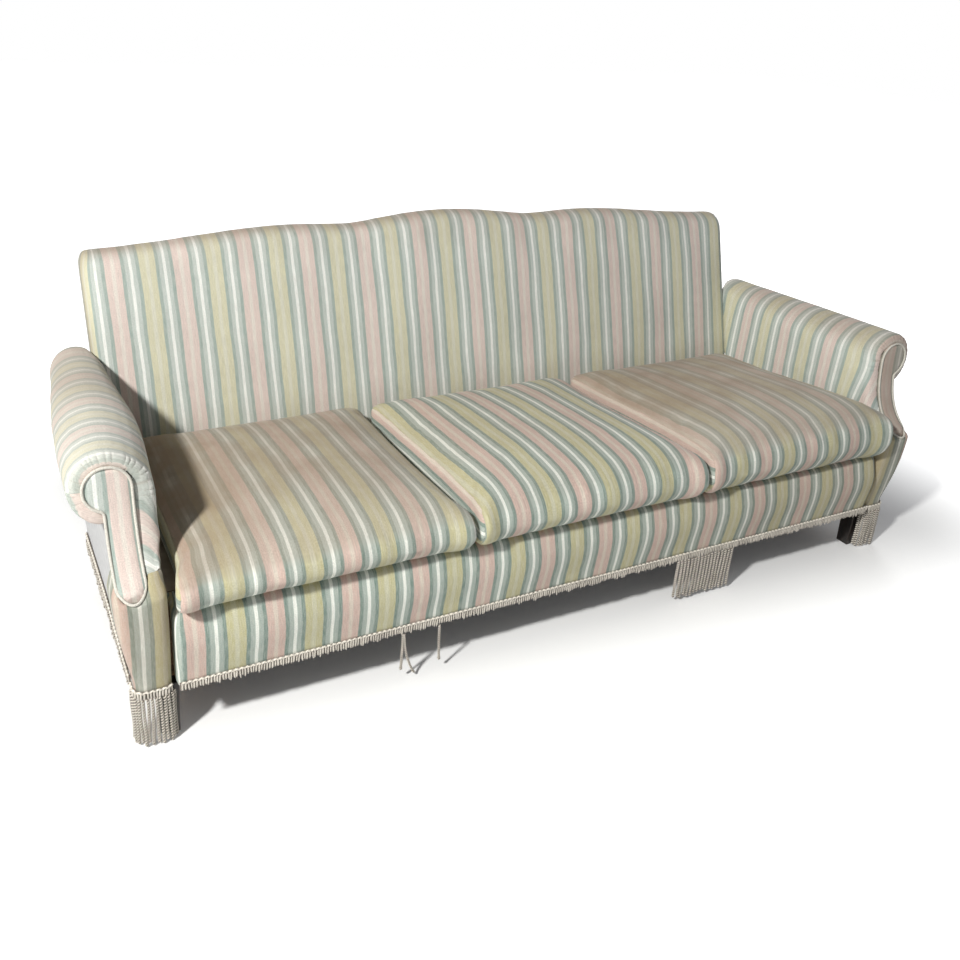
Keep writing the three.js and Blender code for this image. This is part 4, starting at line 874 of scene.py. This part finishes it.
def hang_strands(name, places, top, foot, uneven):
    """A row of hanging cords, each a little different in length, lean and turn."""
    strands = []
    tops = np.broadcast_to(top, len(places))
    master = twisted_cord("strand", 1, STRAND_R, 1, STRAND_STEP / (tops.max() - foot))
    for index, ((px, py), top) in enumerate(zip(places, tops)):
        low = foot + min(uneven, 0.7 * (top - foot)) * rng.random() ** 2
        strand = own_copy(master, f"strand_{index}")
        p = points_of(strand)
        share = p[:, 2].copy()
        turns = (top - low) / STRAND_LAY - 1
        spin = 2 * math.pi * (turns * share + rng.random())
        x0, y0 = p[:, 0].copy(), p[:, 1].copy()
        p[:, 0] = x0 * np.cos(spin) - y0 * np.sin(spin)
        p[:, 1] = x0 * np.sin(spin) + y0 * np.cos(spin)
        p[:, 2] = low + share * (top - low)
        hang = 1 - share
        p[:, 0] += px + hang ** 2 * rng.uniform(-0.0022, 0.0022)
        p[:, 0] += 0.0007 * np.sin(hang * 5 + rng.random() * 6)
        p[:, 1] += py + hang ** 1.5 * rng.uniform(-0.0010, 0.0034)
        set_points(strand, p)
        strands.append(strand)
    bpy.data.objects.remove(master)
    return joined(strands, name)


TAB_START = 0.289
TAB_COUNT = 17
TAB_PITCH = 0.0112
tab_y = RAIL_TRIM - SEWN_GAP - STRAND_R
tab = hang_strands(
    "front_fringe_cords",
    [(TAB_START + STRAND_R + TAB_PITCH * index, tab_y) for index in range(TAB_COUNT)],
    top=HEAD_FOOT + 0.001, foot=0.009, uneven=0.009,
)
stands_for(tab, "front_fringe_tab", COTTON)

SIDE_FOOT = 1.059
POST_CORNER = 0.020
POST_FRONT = FACE_Y + 0.020
WRAP_OUT_Y = POST_FRONT + POST_CORNER + 0.024
WRAP_IN_Y = FACE_Y + 0.036 - 0.0047


def wrap(side, offset):
    """The plan of a post, moved outward: outer side, round the front, inner side."""
    corner = POST_CORNER + offset
    outer_x = SIDE_FOOT + offset - corner
    inner_x = ARM_IN - offset + corner
    front_y = POST_FRONT - offset + corner
    quarter = np.linspace(0, 1, 9) * math.pi / 2
    path = [(SIDE_FOOT + offset, WRAP_OUT_Y)]
    path += [(outer_x + corner * math.cos(a), front_y - corner * math.sin(a)) for a in quarter]
    path += [(inner_x - corner * math.sin(a), front_y - corner * math.cos(a)) for a in quarter]
    middle = (ARM_IN + SIDE_FOOT) / 2
    return np.array([(side * px, py) for px, py in path if px >= middle or py <= WRAP_IN_Y])


for word, side in SIDES:
    heading = fringe_heading("wrap_heading", wrap(side, SEWN_GAP), -side, top=0.140, foot=0.118, stub=0.003)
    path = wrap(side, SEWN_GAP + STRAND_R)
    run = along_path(np.zeros(1), path)[2] - 2 * STRAND_R
    count = int(run / STRAND_PITCH)
    places = along_path(STRAND_R + run * np.arange(count + 1) / count, path)[0]
    cords = hang_strands("wrap_cords", places, top=0.121, foot=0.001, uneven=0.010)
    arm_fringe = joined([heading, cords], f"arm_fringe_cords_{word}")
    stands_for(arm_fringe, f"arm_fringe_{word}", COTTON)

# ---- Fringe: sides
# Along both sides the heading climbs from the post to a line higher on the outside panel, and
# under it hangs a ragged row of cords that were cut short.
SIDE_RISE = 0.038
CLIMB_RUN = 0.30
SIDE_DARKENING = 0.12
for word, side in SIDES:
    slope, level = panel_lines[word]
    low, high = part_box(f"side_heading_{word}")
    side_path = np.array([(0, low.y + 0.001), (0, high.y - 0.001)])
    heading = fringe_heading("side_heading", side_path, side, HEAD_TOP, HEAD_FOOT, stub=0.007)
    run = high.y - low.y - 2 * STRAND_R
    count = int(run / STRAND_PITCH)
    marks = low.y + STRAND_R + run * np.arange(count + 1) / count
    tops = HEAD_FOOT + 0.002 + SIDE_RISE * eased(marks - low.y, 0.0, CLIMB_RUN)
    places = [(side * STRAND_R, mark) for mark in marks]
    cords = hang_strands("side_cords", places, tops, foot=0.124, uneven=0.030)
    p = points_of(heading)
    p[:, 2] += SIDE_RISE * eased(p[:, 1] - low.y, 0.0, CLIMB_RUN)
    set_points(heading, p)
    heading = joined([heading, cords], f"side_fringe_heading_{word}")
    # The whole side fringe is made a little darker.
    depths = np.empty(len(heading.data.vertices), np.float32)
    heading.data.attributes["groove"].data.foreach_get("value", depths)
    store(heading, "groove", depths + SIDE_DARKENING)
    p = points_of(heading)
    p[:, 0] += side * (slope * p[:, 2] + level + 0.0004)
    set_points(heading, p)
    stands_for(heading, f"side_heading_{word}", COTTON)

# ---- Loose cords
# Three cords of the cut fringe still hang left of the middle: a pair that parts half way
# down and a single one, each ending in a small knot.
CORD_TOP = 0.1257
CORD_Y = RAIL_TRIM - 0.0033
CORD_R = 0.003
CORD_SWELL = 1.15
CORD_LAY = 0.0105
ROUTE_POINTS = 25
LOOSE_CORDS = (
    ("loose_cord_pair_left", "loose_cord_double", -0.486, -0.003, 0.027),
    ("loose_cord_pair_right", "loose_cord_double", -0.483, 0.028, 0.009),
    ("loose_cord_lone", "loose_cord_single", -0.395, 0.003, 0.026),
)
for name, node, cord_x, drift, foot in LOOSE_CORDS:
    shares = np.linspace(0, 1, ROUTE_POINTS)
    across = cord_x + drift * shares ** 2
    down = CORD_TOP + (foot - CORD_TOP) * shares
    route = np.stack([across, np.full(ROUTE_POINTS, CORD_Y), down], axis=1)
    marks = np.concatenate(([0], np.cumsum(np.linalg.norm(np.diff(route, axis=0), axis=1))))
    real_length = float(marks[-1])
    cord = twisted_cord(name, real_length, CORD_R * CORD_SWELL, CORD_LAY, step=0.0012)
    p = points_of(cord)
    run = real_length - p[:, 2]
    knot = 1 + 0.35 * np.exp(-((run - real_length + 0.006) / 0.003) ** 2)
    p[:, 0] = p[:, 0] * knot + np.interp(run, marks, route[:, 0])
    p[:, 1] = p[:, 1] * knot + np.interp(run, marks, route[:, 1])
    p[:, 2] = np.interp(run, marks, route[:, 2])
    set_points(cord, p)
    stands_for(cord, node, COTTON)

# ---- Seat cushions
# Three loose cushions, each a soft block in a wrapped cover whose cloth runs over the front.
# The two outer ones are faded and soiled where people sit; the middle one is fresher. The left arm's shadow
# is painted on the left cushion.
CUSHION_MARKS = {
    "left": (-0.781, 0.081, 1.05, 0.18, 0.068), "middle": (-0.210, 0.081, 0.45, 0.0, -0.012),
    "right": (0.510, 0.079, 1.22, 0.34, -0.016),
}
CUSHION_PUSH = {"left": (-0.011, 0, 0, 0), "middle": (0, 0, 0.007, 0), "right": (0, 0.005, 0, 0.010)}
PUSH_DEPTH = 0.10
PANEL_TURN = 0.69
CUSHION_STEP = 0.6467
CUSHION_CORNER = 0.058
CORNER_POWER = 7
CUSHION_SHRINK = 0.003
CUSHION_CAP = 0.011
CUSHION_STEPS = 20
RIM_FRONT = 0.398
RIM_BACK = 0.421
for place_index, (word, (origin, pitch, wear_and_shade, washed, side_start)) in enumerate(CUSHION_MARKS.items()):
    middle_x = (place_index - 1) * CUSHION_STEP
    cushion = remeshed_copy(f"seat_cushion_{word}", f"cushion_{word}", voxel=0.009, passes=5)
    before = points_of(cushion)
    before -= normals_of(cushion) * CUSHION_SHRINK
    set_points(cushion, before)
    scene = bpy.context.scene
    stuffing = cushion.modifiers.new("stuffing", "CLOTH")
    stuffing.settings.quality = 5
    stuffing.settings.mass = 0.3
    stuffing.settings.use_pressure = True
    stuffing.settings.uniform_pressure_force = 4.0
    stuffing.settings.effector_weights.gravity = 0
    stuffing.settings.tension_stiffness = 30
    stuffing.settings.compression_stiffness = 30
    stuffing.settings.bending_stiffness = 2.0
    stuffing.point_cache.frame_start = 1
    stuffing.point_cache.frame_end = CUSHION_STEPS
    for step in range(1, CUSHION_STEPS + 1):
        scene.frame_set(step)
    graph = bpy.context.evaluated_depsgraph_get()
    blown = np.empty(len(cushion.data.vertices) * 3)
    cushion.evaluated_get(graph).data.vertices.foreach_get("co", blown)
    cushion.modifiers.remove(stuffing)
    scene.frame_set(1)
    moved = blown.reshape(-1, 3) - before
    length = np.maximum(np.linalg.norm(moved, axis=1), 1e-9)
    moved *= np.minimum(1, CUSHION_CAP / length)[:, None]
    set_points(cushion, before + moved)
    finer = cushion.modifiers.new("finer", "SUBSURF")
    finer.levels = finer.render_levels = 1
    select_only(cushion)
    bpy.ops.object.modifier_apply(modifier="finer")
    p = points_of(cushion)
    heights = np.linspace(0.318, 0.412, 20)
    from_middle = np.abs(p[:, 0] - middle_x)
    fronts, sides = [], []
    for height in heights:
        level = np.abs(p[:, 2] - height) < 0.006
        fronts.append(p[level & (from_middle < 0.22), 1].min())
        sides.append(from_middle[level & (np.abs(p[:, 1] + 0.15) < 0.2)].max())

    def seat_place(points):
        """How far each point lies in from the side and the front, and how far below the upper edge."""
        x, y, z = points.T
        rise = RIM_BACK + 0.03 * x - RIM_FRONT
        rim = RIM_FRONT + rise * eased(back_face(RIM_FRONT) - y, 0, SEAT_DEPTH)
        in_side = np.interp(z, heights, sides) - np.abs(x - middle_x)
        return in_side, y - np.interp(z, heights, fronts), rim - z

    in_side, in_front, drop = seat_place(p)
    u = np.maximum(1 - in_side / CUSHION_CORNER, 0)
    v = np.maximum(1 - in_front / CUSHION_CORNER, 0)
    square = (u ** CORNER_POWER + v ** CORNER_POWER) ** (1 / CORNER_POWER)
    spread = np.hypot(u, v) / np.maximum(square, 1e-6) - 1
    spread *= CUSHION_CORNER * (1 - eased(-drop, -0.004, 0.022))
    p[:, 0] += np.sign(p[:, 0] - middle_x) * u * spread
    p[:, 1] -= v * spread
    set_points(cushion, p)
    in_side, in_front, drop = seat_place(p)
    sideways = np.abs(normals_of(cushion)[:, 0]) * (in_side < 0.05)
    by_seam = (np.abs(sideways - PANEL_TURN) < 0.26) & (p[:, 2] > 0.33)
    by_seam &= (p[:, 0] < middle_x) | (in_front < 0.06)
    bpy.ops.object.mode_set(mode="EDIT")
    bpy.ops.mesh.select_mode(type="FACE")
    bpy.ops.mesh.select_all(action="DESELECT")
    bpy.ops.object.mode_set(mode="OBJECT")
    for face in cushion.data.polygons:
        face.select = bool(by_seam[list(face.vertices)].all())
    bpy.ops.object.mode_set(mode="EDIT")
    bpy.ops.mesh.subdivide(number_cuts=2)
    bpy.ops.object.mode_set(mode="OBJECT")
    bpy.ops.object.shade_smooth()
    p = points_of(cushion)
    n = normals_of(cushion)
    in_side, in_front, drop = seat_place(p)
    sideways = np.abs(n[:, 0]) * (in_side < 0.05)
    seam = np.exp(-((sideways - PANEL_TURN) / 0.07) ** 2) * eased(p[:, 2], 0.325, 0.34)
    x, y, z = p.T.copy()
    pucker = np.sin(72 * x + 2.4 * np.sin(23 * x + place_index) + 14 * (z - 0.36))
    pucker *= (1 - eased(in_front, 0.004, 0.03)) * np.exp(-((drop - 0.030) / 0.026) ** 2)
    p -= n * (0.0014 * seam + 0.0017 * pucker)[:, None]
    left_ahead, left_all, right_all, right_ahead = CUSHION_PUSH[word]
    ahead = 1 - eased(y, -0.41, -0.34)
    push = np.where(x < middle_x, left_all + left_ahead * ahead, right_all + right_ahead * ahead)
    p[:, 0] += push * np.maximum(1 - np.maximum(in_side, 0) / PUSH_DEPTH, 0)
    set_points(cushion, p)
    store(cushion, "bleach", washed * eased(n[:, 2], 0.4, 0.9))
    vertex_of = np.empty(len(cushion.data.loops), np.int32)
    cushion.data.loops.foreach_get("vertex_index", vertex_of)
    face_sizes = [len(face.vertices) for face in cushion.data.polygons]
    face_of = np.repeat(np.arange(len(face_sizes)), face_sizes)
    share = np.bincount(face_of, (sideways > PANEL_TURN)[vertex_of]) / np.bincount(face_of)
    on_panel = share[face_of] > 0.5
    top_across = (x - origin) * STRIPE_HALF / pitch
    upward = eased(n[:, 2], 0.55, 0.92)
    soil_and_shadow = wear_and_shade * (0.25 + 0.75 * upward) * (0.55 + 0.45 * eased(y, -0.40, -0.12)) + 0.3 * seam
    # The left arm's shadow is painted on the left end of the left cushion's top, darker and browner.
    soil_and_shadow += 0.5 * upward * (1 - eased(x, -0.92, -0.74))
    across = np.where(on_panel, (side_start + drop)[vertex_of], top_across[vertex_of])
    along = np.where(on_panel, y[vertex_of], (y - z)[vertex_of])
    lay_cloth(cushion, across, along, soil_and_shadow[vertex_of], "CORNER")
    stands_for(cushion, f"seat_cushion_{word}", CLOTH_FRESH, f"cushion_{word}")

# ---- Frame wood
# Plain hardwood boards, blocks and posts inside the sofa, sawn and left without a finish. The
# straps and the covers are tacked to them.
def wood(name, roughness, stretch, scale, waver, dark, light, strength, distance):
    """Wood in two tones; its grain is long the way that the pattern is stretched least."""
    finish, shader = new_finish(name, roughness)
    turn = finish.node_tree.nodes.new("ShaderNodeMapping")
    turn.inputs["Scale"].default_value = stretch
    finish.node_tree.links.new(object_place(finish), turn.inputs["Vector"])
    grain = noise_on(turn.outputs["Vector"], scale, detail=6)
    grain.node.inputs["Distortion"].default_value = waver
    shade_by(shader, grain, dark, light)
    emboss(shader, grain, strength, distance)
    return finish, shader


BARE_WOOD, _ = wood(
    "bare_hardwood", roughness=0.72, stretch=(3, 60, 60), scale=1.4, waver=1.5,
    dark=(0.32, tone(112, 84, 56)), light=(0.7, tone(158, 124, 86)), strength=0.25, distance=0.0006,
)
for node in frame["nodes"]:
    if node.startswith((
        "front_rail_board", "back_bottom", "side_rail", "front_corner", "rear_corner", "seat_brace",
        "back_post", "back_top", "back_tacking", "back_upright", "arm_stump", "arm_board", "arm_roll",
    )):
        frame["nodes"][node].data.materials.clear()
        frame["nodes"][node].data.materials.append(BARE_WOOD)


# ---- Webbing, seat deck and dust cloth
# Jute straps carry the seat, a stout cotton deck lies over them below the cushions, and a
# thin black cloth closes the frame underneath.
def woven_goods(name, dark, light, pitch, roughness):
    """Plain coarse cloth: crossed threads in two tones."""
    goods, shader = new_finish(name, roughness)
    place = object_place(goods)
    warp, weft, _ = split(place)
    weave = join_math("MULTIPLY", threads(warp, pitch), threads(weft, pitch))
    slubby = join_math("ADD", join_math("MULTIPLY", weave, 0.25), noise_on(place, scale=30, detail=4))
    shade_by(shader, slubby, (0.15, dark), (0.85, light))
    emboss(shader, weave, strength=0.4, distance=pitch / 4)
    return goods


WEBBING = woven_goods("jute_webbing", tone(128, 104, 66), tone(186, 160, 112), 0.004, 0.95)
DECKING = woven_goods("deck_cotton", tone(162, 150, 132), tone(204, 194, 176), 0.0022, 0.93)
DUST_CLOTH = woven_goods("dust_cloth_black", tone(22, 21, 20), tone(48, 46, 43), 0.0018, 0.95)
for node, piece in frame["nodes"].items():
    for start, finish, slot in (
        ("seat_strap", WEBBING, "webbing_jute"),
        ("seat_deck", DECKING, "deck_cloth"),
        ("dust_cover", DUST_CLOTH, "dust_cloth"),
    ):
        if node.startswith(start):
            piece.data.materials.clear()
            piece.data.materials.append(finish)

# ---- Legs
# Four square hardwood legs that taper to the floor, stained black, with softened edges. They
# are fixed up into the corners of the frame.
BLACK_STAIN, shader = wood(
    "black_stain", roughness=0.38, stretch=(90, 90, 6), scale=1.5, waver=0.0,
    dark=(0.35, tone(14, 12, 11)), light=(0.8, tone(46, 36, 29)), strength=0.2, distance=0.0005,
)
shader.inputs["Coat Weight"].default_value = 0.15
for word in ("front_leg_left", "front_leg_right", "rear_leg_left", "rear_leg_right"):
    leg = own_copy(frame["nodes"][word], f"{word}_turned")
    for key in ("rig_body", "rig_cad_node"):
        del leg[key]
    leg.parent = None
    leg.matrix_world = Matrix.Identity(4)
    leg.data.materials.clear()
    merge_doubles(leg)
    edges = leg.modifiers.new("edges", "BEVEL")
    edges.width = 0.0022
    edges.segments = 3
    edges.limit_method = "ANGLE"
    bpy.ops.object.modifier_apply(modifier="edges")
    bpy.ops.object.shade_smooth_by_angle(angle=math.radians(35))
    stands_for(leg, word, BLACK_STAIN)
